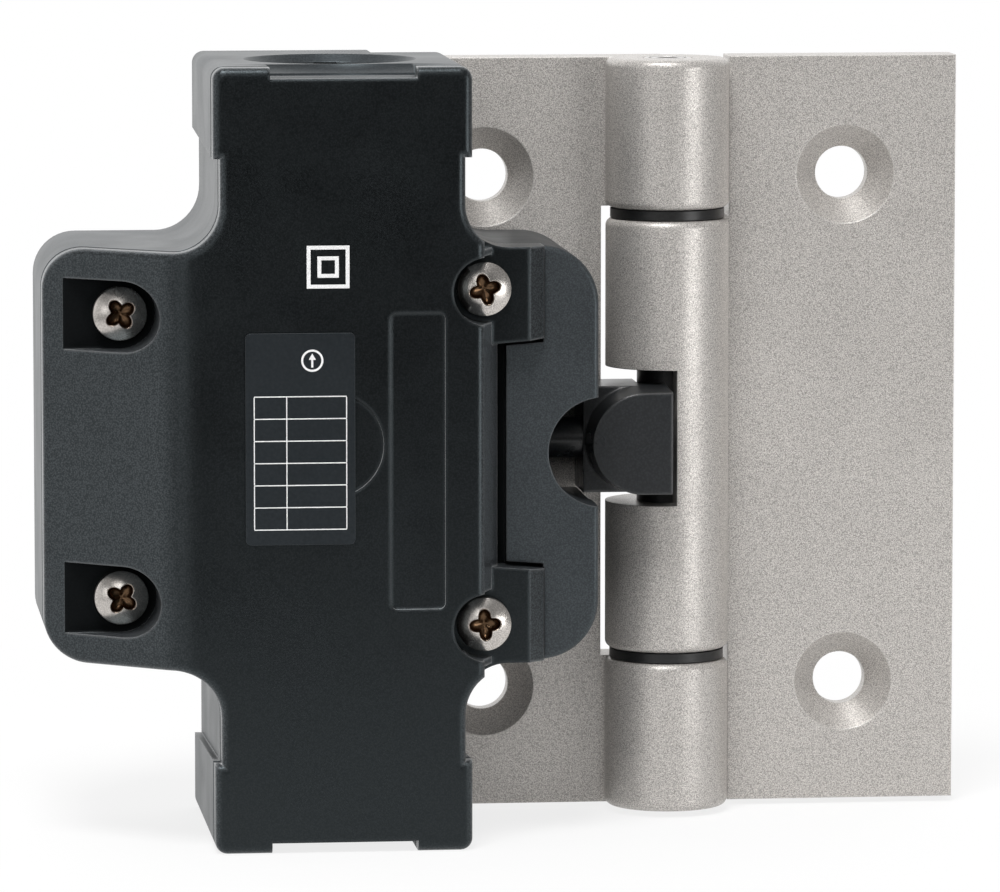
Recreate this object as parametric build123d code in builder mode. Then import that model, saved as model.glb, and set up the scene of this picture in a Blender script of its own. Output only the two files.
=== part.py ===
"""Safety hinge switch: a cast butt hinge with a switch housing on its fixed leaf.

The frame is +Z up along the hinge axis, +X from the fixed leaf to the moving leaf, and -Y to the
front. The mounting plane is y = 0, and the origin is midway between the fixed leaf's two holes.
"Depth" is the distance of a surface in front of the mounting plane, so it is -y.
"""
import math
import os

from build123d import *

os.makedirs("parts", exist_ok=True)

# Hinge
hole_offset = 22.0
hole_spacing = 62.0
hole_diameter = 6.4
countersink_diameter = 12.0
leaf_height = 90.8
leaf_thickness = 5.5
leaf_reach = 35.5
knuckle_radius = 7.45
axis_depth = 7.5
knuckle_end_radius = 0.9
middle_knuckle_length = 52.2
washer_thickness = 1.1
washer_clearance = 0.1
washer_radius = 6.9
knuckle_to_leaf_gap = 0.35
pin_radius = 3.1
sleeve_wall = 0.5
running_clearance = 0.03
pin_chamfer = 0.3
pin_socket_radius = 1.5
pin_socket_depth = 2.5
pin_ring_radii = (2.35, 2.0)
pin_ring_depth = 0.5
window_height = 16.4
window_edge = 0.3
lug_half_height = 5.4
lug_depth = 5.0

# Housing
column_offset = 41.7
column_width = 28.7
end_block_width = 30.3
housing_height = 92.2
end_block_start = 35.5
end_block_draft = 1.4
housing_depth = 36.0
left_wing_offset = 76.2
left_wing_height = 49.0
right_wing_offset = 10.8
right_wing_height = 49.2
right_wing_drop = 7.5
left_corner_radius = 5.0
right_corner_radius = 7.0
waist_radius = 5.5
shoulder_offset = 60.6
shoulder_drop = 12.6
shoulder_radius = 9.0
cover_thickness = 2.2
seam_gap = 0.1
lug_floor_gap = 0.1
end_corner_radius = 1.4
wing_edge_radius = 0.6
cover_edge_radius = 0.9
cover_skirt_offset = 22.9
cover_face_offset = 25.1
skirt_inset = 0.4
skirt_gap = 0.2
lug_crest_inset = 3.6
lug_edge_rise = 0.4
chamber_left_offset = 53.2
chamber_right_offset = 31.0
chamber_floor = 7.0
chamber_top = 33.5
chamber_bottom = -42.5
chamber_corner_radius = 2.0
entry_overlap = 1.0
gasket_inset = 0.55
gasket_outset = 1.55
gasket_play = 0.05
gasket_radius = 3.55
gasket_height = 0.9
entry_radius = 9.35
entry_mouth_radius = 10.3
entry_depth = 18.0
lip_depth = 28.6

cover_recess_x = (50.2, 33.0)
cover_recess_depth = 1.3
panel_x = (36.2, 29.8)
panel_half_height = 17.4
panel_depth = 0.25
panel_radius = 0.7
ring_offset = 43.1
ring_z = 2.0
ring_radius = 6.1
label_x = (53.2, 40.4)
label_z = (-9.6, 15.2)
label_thickness = 0.25
label_radius = 0.6
core_depth = 4.2
core_wall = 2.0
core_side_wall = 2.45
core_height = 14.0
wing_core_height = 21.0
wing_core_wall = 2.4
wing_front_wall = 5.0
recess_clearance = 0.2

# Cover screws
screw_radius = 1.75
screw_head_radius = 3.2
screw_head_height = 2.2
screw_hole_clearance = 0.25
crown_share = 0.45
recess_arm_share = 0.2
recess_depth_share = 0.6
slot_share = 0.16
thread_clearance = 0.01
thread_runout = 1.0
leaf_thread_runout = 0.5
left_screw_offset = 67.2
left_screw_z = 16.8
left_pocket_drop = 10.7
pocket_radius = 4.2
pocket_wall = 1.6
pocket_start = 1.5
right_screw_offset = 24.8
right_screw_z = 19.8
right_seat_drop = 5.0
notch_radius = 4.0
notch_wall = 0.9
lug_reach_offset = 17.4
lug_inner_z = 13.7
lug_slant = 1.0
lug_waist_reach = 1.0
lug_slot_width = 0.55
lug_slot_depth = 2.0
skirt_groove_width = 1.1
skirt_groove_depth = 2.4
lug_floor_drop = 10.6
lug_edge_drop = 7.2
left_screw_length = 12.0
right_screw_length = 16.0

# Plunger and its drive
plunger_travel = 9.0
stem_depth = 11.6
stem_socket_length = 4.0
head_flank_depth = 6.0
head_flank_angle = 3.0
head_arc_inset = 0.2
stem_radius = 2.5
head_half_height = 6.4
head_left_offset = 11.0
head_right_offset = 0.9
head_rear_depth = 5.9
head_front_depth = 20.5
channel_clearance = 0.35
pocket_arc_offset = 10.3
pocket_arc_radius = 6.5
tine_clearance = 0.4
bush_radius = 4.0
bush_length = 8.15
seal_radius = 4.6
seal_length = 2.4

# Screws that hold the housing to the fixed leaf
leaf_screw_offset = 19.0
leaf_screw_z = 16.0
leaf_screw_radius = 2.0
leaf_screw_head_radius = 4.0
leaf_screw_length = 14.0
leaf_screw_clearance = 0.2
leaf_screw_socket_radius = 1.45
leaf_screw_socket_depth = 1.6

# Contact set
carrier_length = 8.5
carrier_clearance = 1.0
carrier_chamfer = 0.6
stem_tip_inset = 1.5
nc_bridge_inset = 2.5
no_bridge_inset = 6.5
carrier_half_height = 5.4
carrier_depths = (8.7, 15.0)
plate_depths = (7.0, 8.4)
bench_inner_z = 14.0
bench_outer_z = 29.5
bench_depth = 13.0
bridge_depths = (9.8, 13.2)
bridge_thickness = 0.8
bridge_half_length = 9.6
contact_gap = 0.15
rivet_radius = 1.4
rivet_height = 0.4
block_screw_radius = 1.25
block_screw_head = (2.1, 1.8)
block_screw_wall = 0.9
block_thread_runout = 0.3
terminal_screw_length = 8.0
strip_thickness = 1.0
pad_size = 7.6
pad_thickness = 1.2
pad_inset = 0.6
blade_gap = 0.2
foot_length = 2.0
pad_z = 21.5
clamp_size = 7.0
clamp_thickness = 1.2
wire_gap = 0.4
spring_radius = 2.7
spring_wire = 0.35
spring_turns = 4.5
spring_end_gap = 0.2
blade_inner_z = 7.4
rivet_z = 8.6
rail_z = 6.4
rail_width = 1.2
rail_height = 1.0
block_margin = 0.3
cut_margin = 1.0

# Places worked out from the sizes above
axis_x = hole_offset
half_leaf = leaf_height / 2
half_middle = middle_knuckle_length / 2
end_knuckle_start = half_middle + washer_thickness + 2 * washer_clearance
end_knuckle_length = half_leaf - end_knuckle_start
sleeve_radius = pin_radius + running_clearance + sleeve_wall
fixed_edge_x = axis_x - knuckle_radius - knuckle_to_leaf_gap
moving_edge_x = axis_x + knuckle_radius + knuckle_to_leaf_gap
column_x = axis_x - column_offset
column_right_x = column_x + column_width / 2
left_wing_x = axis_x - left_wing_offset
right_wing_x = axis_x - right_wing_offset
leaf_left_x = axis_x - leaf_reach
core_left_x = column_x - column_width / 2 + core_side_wall
core_right_x = leaf_left_x - recess_clearance - core_wall
seam_depth = housing_depth - cover_thickness
right_wing_depth = housing_depth - right_wing_drop
shoulder_low_depth = housing_depth - shoulder_drop
left_pocket_floor = housing_depth - left_pocket_drop
right_seat_depth = housing_depth - right_seat_drop
lug_floor = housing_depth - lug_floor_drop
lug_edge_depth = housing_depth - lug_edge_drop
cup_depth = left_pocket_floor - cover_thickness
skirt_top_depth = housing_depth - cover_edge_radius
skirt_low_depth = right_wing_depth + skirt_gap
skirt_x = axis_x - cover_skirt_offset
lug_end_x = axis_x - lug_reach_offset
chamber_left_x = axis_x - chamber_left_offset
chamber_right_x = axis_x - chamber_right_offset
chamber_centre_z = (chamber_top + chamber_bottom) / 2
chamber_centre_x = (chamber_left_x + chamber_right_x) / 2
chamber_width = chamber_right_x - chamber_left_x
block_width = chamber_width - 2 * block_margin
cover_recess_centre_x = axis_x - sum(cover_recess_x) / 2
cover_recess_width = cover_recess_x[0] - cover_recess_x[1]
head_left_x = axis_x - head_left_offset
head_right_x = axis_x - head_right_offset
head_arc_x = head_left_x + head_arc_inset + head_half_height
channel_end_x = head_left_x - plunger_travel - channel_clearance
carrier_right_x = chamber_right_x - carrier_clearance
carrier_left_x = carrier_right_x - carrier_length
nc_bridge_x = carrier_right_x - nc_bridge_inset
no_bridge_x = carrier_right_x - no_bridge_inset
bridge_to_strip = bridge_thickness / 2 + rivet_height + contact_gap + strip_thickness / 2
nc_strip_x = nc_bridge_x + bridge_to_strip
no_strip_x = no_bridge_x - plunger_travel - bridge_to_strip
nc_pad_x = chamber_right_x - pad_inset - pad_size / 2
no_pad_x = chamber_left_x + pad_inset + pad_size / 2
block_screw_x = (nc_pad_x + no_pad_x) / 2
block_screw_tip = leaf_thickness + block_screw_wall
block_screw_length = bench_depth - block_screw_tip
left_screw_x = axis_x - left_screw_offset
right_screw_x = axis_x - right_screw_offset
lug_inner_x = right_screw_x - notch_radius - notch_wall
leaf_screw_x = axis_x - leaf_screw_offset
stem_tip_x = carrier_right_x - stem_tip_inset
screw_rows = (-1, 1)
pick_margin = 0.01
front_slope_limit = 0.3
side_slope_limit = 0.1


def write_part(part, name):
    """Labels a finished piece and writes it as its own file."""
    part.label = name
    export_step(part, f"parts/{name}.step")


def depth_plane(depth):
    """Returns the upright plane at a depth in front of the mounting plane, facing the front."""
    return Plane.XZ.offset(depth)


def housing_outline(depth):
    """Draws the housing's outline at a depth: column, end blocks and both wings."""
    end_height = housing_height / 2 - end_block_start
    corner_z = (left_wing_height / 2, right_wing_height / 2)
    with BuildSketch(depth_plane(depth)) as outline:
        with Locations((column_x, 0)):
            Rectangle(column_width, housing_height)
        for side in screw_rows:
            with Locations((column_x, side * (end_block_start + end_height / 2))):
                Rectangle(end_block_width, end_height)
        with Locations((left_wing_x, 0)):
            Rectangle(column_x - left_wing_x, left_wing_height, align=(Align.MIN, Align.CENTER))
        with Locations((column_x, 0)):
            Rectangle(right_wing_x - column_x, right_wing_height, align=(Align.MIN, Align.CENTER))
        column_edges = (column_x - column_width / 2, column_right_x)
        waist = [
            v
            for v in outline.vertices()
            if min(abs(abs(v.Y) - z) for z in corner_z) < pick_margin
            and min(abs(v.X - x) for x in column_edges) < pick_margin
        ]
        fillet(waist, waist_radius)
        fillet([v for v in outline.vertices() if abs(v.X - left_wing_x) < pick_margin], left_corner_radius)
        fillet([v for v in outline.vertices() if abs(v.X - right_wing_x) < pick_margin], right_corner_radius)
        end_corners = [v for v in outline.vertices() if abs(abs(v.Y) - housing_height / 2) < pick_margin]
        fillet(end_corners, end_corner_radius)
    return outline.sketch


def front_limit(setback):
    """Draws what lies behind the housing's front, seen from above and set back by a depth."""
    crest_x = axis_x - shoulder_offset
    slope = (housing_depth - shoulder_low_depth) / (crest_x - left_wing_x)
    low = shoulder_low_depth - cut_margin * slope - setback
    high = housing_depth - setback
    far_x = axis_x + cut_margin
    with BuildSketch(Plane.XY.offset(-housing_height)) as limit:
        with BuildLine():
            Polyline(
                (left_wing_x - cut_margin, cut_margin),
                (left_wing_x - cut_margin, -low),
                (crest_x, -high),
                (far_x, -high),
                (far_x, cut_margin),
                close=True,
            )
        make_face()
        fillet([v for v in limit.vertices() if abs(v.X - crest_x) < pick_margin], shoulder_radius)
    return limit.sketch


def pocket_outline(depth, side, wall, start):
    """Draws a left screw pocket from start right of the wing's edge, moved out by a wall."""
    open_x = left_wing_x + start
    with BuildSketch(depth_plane(depth)) as pocket:
        with Locations((left_screw_x, side * left_screw_z)):
            Circle(pocket_radius + wall)
        with Locations((open_x, side * left_screw_z)):
            Rectangle(
                left_screw_x - open_x,
                2 * (pocket_radius + wall),
                align=(Align.MIN, Align.CENTER),
            )
    return pocket.sketch


def lug_outline(depth, side, gap):
    """Draws a right lug of the cover, with its free edges moved out by a gap."""
    lug_x = lug_end_x + gap
    inner_x = lug_inner_x - gap
    outer_z = right_wing_height / 2 + lug_waist_reach + gap
    with BuildSketch(depth_plane(depth)) as lug:
        with BuildLine():
            Polyline(
                (inner_x, side * (lug_inner_z - lug_slant - gap)),
                (lug_x, side * (lug_inner_z - gap)),
                (lug_x, side * outer_z),
                (inner_x, side * outer_z),
                close=True,
            )
        make_face()
    return lug.sketch


def knuckle(low_z, length):
    """Adds a knuckle barrel with rounded ends around the hinge axis."""
    with BuildSketch(depth_plane(axis_depth)) as half_section:
        with Locations((axis_x, low_z)):
            Rectangle(knuckle_radius, length, align=(Align.MIN, Align.MIN))
        outer = half_section.vertices().group_by(Axis.X)[-1]
        fillet(outer, knuckle_end_radius)
    revolve(half_section.sketch, axis=Axis((axis_x, -axis_depth, 0), (0, 0, 1)))


def gasket_outline(depth, play):
    """Draws the gasket's ring at a depth, widened on both edges by a play."""
    height = chamber_top - chamber_bottom
    outer = 2 * (gasket_outset + play)
    inner = 2 * (gasket_inset - play)
    inner_radius = gasket_radius - gasket_outset + gasket_inset - play
    with BuildSketch(depth_plane(depth)) as ring:
        with Locations((chamber_centre_x, chamber_centre_z)):
            RectangleRounded(chamber_width + outer, height + outer, gasket_radius + play)
            RectangleRounded(chamber_width + inner, height + inner, inner_radius, mode=Mode.SUBTRACT)
    return ring.sketch


def slotted_screw(x, z, seat_depth, length, radius, head):
    """Adds a cheese-head screw with one slot, its head seated at a depth."""
    head_radius, head_height = head
    with BuildSketch(depth_plane(seat_depth - length)) as shank:
        with Locations((x, z)):
            Circle(radius)
    extrude(shank.sketch, amount=length)
    with BuildSketch(depth_plane(seat_depth)) as cheese_head:
        with Locations((x, z)):
            Circle(head_radius)
    extrude(cheese_head.sketch, amount=head_height)
    with BuildSketch(depth_plane(seat_depth + head_height)) as slot:
        with Locations((x, z)):
            Rectangle(2 * slot_share * head_radius, 2 * head_radius + cut_margin)
    extrude(slot.sketch, amount=-recess_depth_share * head_height, mode=Mode.SUBTRACT)


def pan_screw(x, z, seat_depth, length, radius, head):
    """Adds a pan-head screw with a cross recess, its head seated at a depth."""
    head_radius, head_height = head
    crown = crown_share * head_height
    dome = (head_radius**2 + crown**2) / (2 * crown)
    mid_drop = dome - math.sqrt(dome**2 - (head_radius / 2) ** 2)
    arm = recess_arm_share * head_radius
    with BuildSketch(Plane.XY.offset(z)) as profile:
        with BuildLine():
            Polyline(
                (x, length - seat_depth),
                (x + radius, length - seat_depth),
                (x + radius, -seat_depth),
                (x + head_radius, -seat_depth),
                (x + head_radius, crown - seat_depth - head_height),
            )
            ThreePointArc(
                (x + head_radius, crown - seat_depth - head_height),
                (x + head_radius / 2, mid_drop - seat_depth - head_height),
                (x, -seat_depth - head_height),
            )
            Line((x, -seat_depth - head_height), (x, length - seat_depth))
        make_face()
    revolve(profile.sketch, axis=Axis((x, 0, z), (0, 1, 0)))
    with BuildSketch(depth_plane(seat_depth + head_height)) as recess:
        with Locations((x, z)):
            Rectangle(6 * arm, 2 * arm)
            Rectangle(2 * arm, 6 * arm)
    extrude(recess.sketch, amount=-recess_depth_share * head_height, mode=Mode.SUBTRACT)


# Fixed leaf: plate, two end knuckles and the low lug behind the plunger head
with BuildPart() as fixed_leaf:
    with BuildSketch(depth_plane(0)) as fixed_plate:
        with Locations((leaf_left_x, 0)):
            Rectangle(fixed_edge_x - leaf_left_x, leaf_height, align=(Align.MIN, Align.CENTER))
        for side in screw_rows:
            with Locations((fixed_edge_x, side * (end_knuckle_start + end_knuckle_length / 2))):
                Rectangle(axis_x - fixed_edge_x, end_knuckle_length, align=(Align.MIN, Align.CENTER))
    extrude(amount=leaf_thickness)
    with BuildSketch(depth_plane(0)) as lug_plate:
        with Locations((fixed_edge_x, 0)):
            Rectangle(
                axis_x - sleeve_radius - knuckle_to_leaf_gap - fixed_edge_x,
                2 * lug_half_height,
                align=(Align.MIN, Align.CENTER),
            )
    extrude(amount=lug_depth)
    for side in screw_rows:
        low_z = end_knuckle_start if side > 0 else -half_leaf
        knuckle(low_z, end_knuckle_length)
    with BuildSketch(Plane.XY.offset(-half_leaf)) as pin_bore:
        with Locations((axis_x, -axis_depth)):
            Circle(pin_radius)
    extrude(amount=leaf_height, mode=Mode.SUBTRACT)
    with Locations(depth_plane(leaf_thickness)):
        with Locations(*[(0, side * hole_spacing / 2) for side in screw_rows]):
            CounterSinkHole(hole_diameter / 2, countersink_diameter / 2)
    with Locations(Plane.XZ.rotated((0, 180, 0))):
        with Locations(*[(-leaf_screw_x, side * leaf_screw_z) for side in screw_rows]):
            CounterSinkHole(leaf_screw_radius + leaf_screw_clearance, leaf_screw_head_radius + leaf_screw_clearance)
write_part(fixed_leaf.part, "fixed_leaf")

# Moving leaf: plate and middle knuckle, with the window that the plunger head stands in
with BuildPart() as moving_leaf:
    with BuildSketch(depth_plane(0)) as moving_plate:
        with Locations((moving_edge_x, 0)):
            Rectangle(axis_x + leaf_reach - moving_edge_x, leaf_height, align=(Align.MIN, Align.CENTER))
        with Locations((axis_x, 0)):
            Rectangle(moving_edge_x - axis_x, middle_knuckle_length, align=(Align.MIN, Align.CENTER))
    extrude(amount=leaf_thickness)
    knuckle(-half_middle, middle_knuckle_length)
    with BuildSketch(depth_plane(-cut_margin)) as window:
        with Locations((axis_x + window_edge, 0)):
            Rectangle(2 * knuckle_radius, window_height, align=(Align.MAX, Align.CENTER))
    extrude(amount=axis_depth + knuckle_radius + 2 * cut_margin, mode=Mode.SUBTRACT)
    with BuildSketch(Plane.XY.offset(-half_middle)) as sleeve_bore:
        with Locations((axis_x, -axis_depth)):
            Circle(sleeve_radius)
    extrude(amount=middle_knuckle_length, mode=Mode.SUBTRACT)
    with Locations(depth_plane(leaf_thickness)):
        with Locations(*[(2 * hole_offset, side * hole_spacing / 2) for side in screw_rows]):
            CounterSinkHole(hole_diameter / 2, countersink_diameter / 2)
write_part(moving_leaf.part, "moving_leaf")

# Hinge pin, with a hexagon socket and a ring groove in each end
with BuildPart() as hinge_pin:
    with BuildSketch(Plane.XY.offset(-half_leaf)) as pin_section:
        with Locations((axis_x, -axis_depth)):
            Circle(pin_radius)
    extrude(amount=leaf_height)
    chamfer(hinge_pin.edges().filter_by(GeomType.CIRCLE), pin_chamfer)
    for side in screw_rows:
        with BuildSketch(Plane.XY.offset(side * half_leaf)) as socket:
            with Locations((axis_x, -axis_depth)):
                RegularPolygon(pin_socket_radius, 6)
        extrude(amount=-side * pin_socket_depth, mode=Mode.SUBTRACT)
        with BuildSketch(Plane.XY.offset(side * half_leaf)) as end_ring:
            with Locations((axis_x, -axis_depth)):
                Circle(pin_ring_radii[0])
                Circle(pin_ring_radii[1], mode=Mode.SUBTRACT)
        extrude(amount=-side * pin_ring_depth, mode=Mode.SUBTRACT)
write_part(hinge_pin.part, "hinge_pin")

# Bearing sleeve pressed into the middle knuckle
with BuildPart() as pin_sleeve:
    with BuildSketch(Plane.XY.offset(-half_middle)) as sleeve_section:
        with Locations((axis_x, -axis_depth)):
            Circle(sleeve_radius)
            Circle(pin_radius + running_clearance, mode=Mode.SUBTRACT)
    extrude(amount=middle_knuckle_length)
write_part(pin_sleeve.part, "pin_sleeve")

# Thrust washers between the knuckles
for side, washer_name in ((1, "upper_washer"), (-1, "lower_washer")):
    washer_low = half_middle + washer_clearance
    if side < 0:
        washer_low = -washer_low - washer_thickness
    with BuildPart() as washer:
        with BuildSketch(Plane.XY.offset(washer_low)) as washer_section:
            with Locations((axis_x, -axis_depth)):
                Circle(washer_radius)
                Circle(pin_radius + running_clearance, mode=Mode.SUBTRACT)
        extrude(amount=washer_thickness)
    write_part(washer.part, washer_name)

# Housing base: deep moulded box with both wings, the cable entry and the plunger channel
with BuildPart() as housing_base:
    extrude(housing_outline(0), amount=housing_depth)
    extrude(front_limit(cover_thickness + seam_gap), amount=2 * housing_height, mode=Mode.INTERSECT)
    with BuildSketch(depth_plane(right_wing_depth)) as wing_top:
        with Locations((column_right_x, 0)):
            Rectangle(column_width, housing_height, align=(Align.MIN, Align.CENTER))
    with BuildSketch(depth_plane(right_wing_depth)) as end_tops:
        for side in screw_rows:
            with Locations((column_x, side * housing_height / 2)):
                Rectangle(end_block_width, housing_height - right_wing_height)
    extrude(wing_top.sketch - end_tops.sketch, amount=housing_depth, mode=Mode.SUBTRACT)
    wing_face = housing_base.faces().filter_by(Axis.Y).sort_by(Axis.X)[-1]
    wing_rim = [e for e in wing_face.edges() if e.center().X > column_right_x + waist_radius]
    fillet(wing_rim, wing_edge_radius)
    with BuildSketch(depth_plane(0)) as leaf_recess:
        with Locations((leaf_left_x - recess_clearance, 0)):
            Rectangle(leaf_reach, 2 * housing_height, align=(Align.MIN, Align.CENTER))
    extrude(amount=leaf_thickness, mode=Mode.SUBTRACT)
    with BuildSketch(depth_plane(chamber_floor)) as chamber:
        with Locations((chamber_centre_x, chamber_centre_z)):
            RectangleRounded(chamber_width, chamber_top - chamber_bottom, chamber_corner_radius)
    extrude(amount=housing_depth, mode=Mode.SUBTRACT)
    extrude(gasket_outline(seam_depth - seam_gap, gasket_play), amount=-gasket_height, mode=Mode.SUBTRACT)
    with BuildSketch(Plane.XY.offset(chamber_top - entry_overlap)) as entry:
        with Locations((column_x, -entry_depth)):
            Circle(entry_radius)
    extrude(amount=housing_height, mode=Mode.SUBTRACT)
    for side in screw_rows:
        with BuildSketch(Plane.YZ.offset(cover_recess_centre_x - cover_recess_width / 2)) as lip_slope:
            with BuildLine():
                Polyline(
                    (-lip_depth, side * housing_height / 2),
                    (-seam_depth, side * (housing_height / 2 - cover_recess_depth)),
                    (-housing_depth, side * (housing_height / 2 - cover_recess_depth)),
                    (-housing_depth, side * (housing_height / 2 + cut_margin)),
                    (-lip_depth, side * (housing_height / 2 + cut_margin)),
                    close=True,
                )
            make_face()
        extrude(amount=cover_recess_width, mode=Mode.SUBTRACT)
        for edge_x, inward in ((column_x - end_block_width / 2, 1), (column_x + end_block_width / 2, -1)):
            with BuildSketch(Plane.YZ.offset(edge_x)) as step_slope:
                with BuildLine():
                    Polyline(
                        (cut_margin, side * (end_block_start - cut_margin)),
                        (cut_margin, side * (end_block_start + end_block_draft)),
                        (0, side * (end_block_start + end_block_draft)),
                        (-seam_depth, side * end_block_start),
                        (-seam_depth, side * (end_block_start - cut_margin)),
                        close=True,
                    )
                make_face()
            extrude(amount=inward * (end_block_width - column_width) / 2, mode=Mode.SUBTRACT)
    entry_rim = housing_base.edges().filter_by(GeomType.CIRCLE).sort_by(Axis.Z)[-1]
    chamfer(entry_rim, entry_mouth_radius - entry_radius)
    for side in screw_rows:
        cup_room = pocket_outline(cup_depth, side, pocket_wall + seam_gap, pocket_start)
        extrude(cup_room, amount=housing_depth, mode=Mode.SUBTRACT)
        lug_room = lug_outline(lug_floor - lug_floor_gap, side, seam_gap)
        extrude(lug_room, amount=housing_depth, mode=Mode.SUBTRACT)
        with BuildSketch(depth_plane(right_wing_depth - lug_slot_depth)) as lug_slot:
            with BuildLine():
                Polyline(
                    (lug_inner_x, side * (lug_inner_z - lug_slant - lug_slot_width)),
                    (lug_end_x, side * (lug_inner_z - lug_slot_width)),
                    (lug_end_x, side * lug_inner_z),
                    (lug_inner_x, side * lug_inner_z),
                    close=True,
                )
            make_face()
        extrude(amount=housing_depth, mode=Mode.SUBTRACT)
    with BuildSketch(depth_plane(right_wing_depth - skirt_groove_depth)) as skirt_groove:
        with Locations((skirt_x, 0)):
            Rectangle(skirt_groove_width, 2 * lug_inner_z, align=(Align.MIN, Align.CENTER))
    extrude(amount=housing_depth, mode=Mode.SUBTRACT)
    with BuildSketch(depth_plane(leaf_thickness)) as channel:
        with Locations((channel_end_x, 0)):
            Rectangle(
                leaf_reach,
                2 * (head_half_height + channel_clearance),
                align=(Align.MIN, Align.CENTER),
            )
    extrude(amount=head_front_depth + channel_clearance - leaf_thickness, mode=Mode.SUBTRACT)
    with BuildSketch(depth_plane(head_front_depth)) as finger_pocket:
        with Locations((axis_x - pocket_arc_offset, 0)):
            Circle(pocket_arc_radius)
    extrude(amount=housing_depth, mode=Mode.SUBTRACT)
    with BuildSketch(Plane.YZ.offset(chamber_right_x)) as bush_bore:
        with Locations((-stem_depth, 0)):
            Circle(bush_radius)
    extrude(amount=channel_end_x - chamber_right_x, mode=Mode.SUBTRACT)
    with BuildSketch(Plane.YZ.offset(channel_end_x)) as seal_bore:
        with Locations((-stem_depth, 0)):
            Circle(seal_radius)
    extrude(amount=-seal_length, mode=Mode.SUBTRACT)
    for side in screw_rows:
        with BuildSketch(depth_plane(left_pocket_floor)) as left_thread:
            with Locations((left_screw_x, side * left_screw_z)):
                Circle(screw_radius + thread_clearance)
        extrude(amount=-left_screw_length - thread_runout, mode=Mode.SUBTRACT)
        with BuildSketch(depth_plane(right_seat_depth)) as right_thread:
            with Locations((right_screw_x, side * right_screw_z)):
                Circle(screw_radius + thread_clearance)
        extrude(amount=-right_screw_length - thread_runout, mode=Mode.SUBTRACT)
        with BuildSketch(depth_plane(leaf_thickness)) as leaf_thread:
            with Locations((leaf_screw_x, side * leaf_screw_z)):
                Circle(leaf_screw_radius + thread_clearance)
        extrude(amount=leaf_screw_length - leaf_thickness + leaf_thread_runout, mode=Mode.SUBTRACT)
        with BuildSketch(depth_plane(chamber_floor)) as block_thread:
            with Locations((block_screw_x, side * pad_z)):
                Circle(block_screw_radius + thread_clearance)
        extrude(amount=block_screw_tip - block_thread_runout - chamber_floor, mode=Mode.SUBTRACT)
        with BuildSketch(depth_plane(0)) as core_cell:
            with Locations((core_right_x, side * (housing_height / 2 - core_wall))):
                inward = Align.MAX if side > 0 else Align.MIN
                Rectangle(core_right_x - core_left_x, core_height, align=(Align.MAX, inward))
        extrude(amount=core_depth, mode=Mode.SUBTRACT)
    with BuildSketch(depth_plane(0)) as wing_core:
        with Locations(((left_wing_x + chamber_left_x) / 2, 0)):
            Rectangle(chamber_left_x - left_wing_x - 2 * wing_core_wall, wing_core_height)
    extrude(amount=shoulder_low_depth - wing_front_wall, mode=Mode.SUBTRACT)
write_part(housing_base.part, "housing_base")

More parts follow.
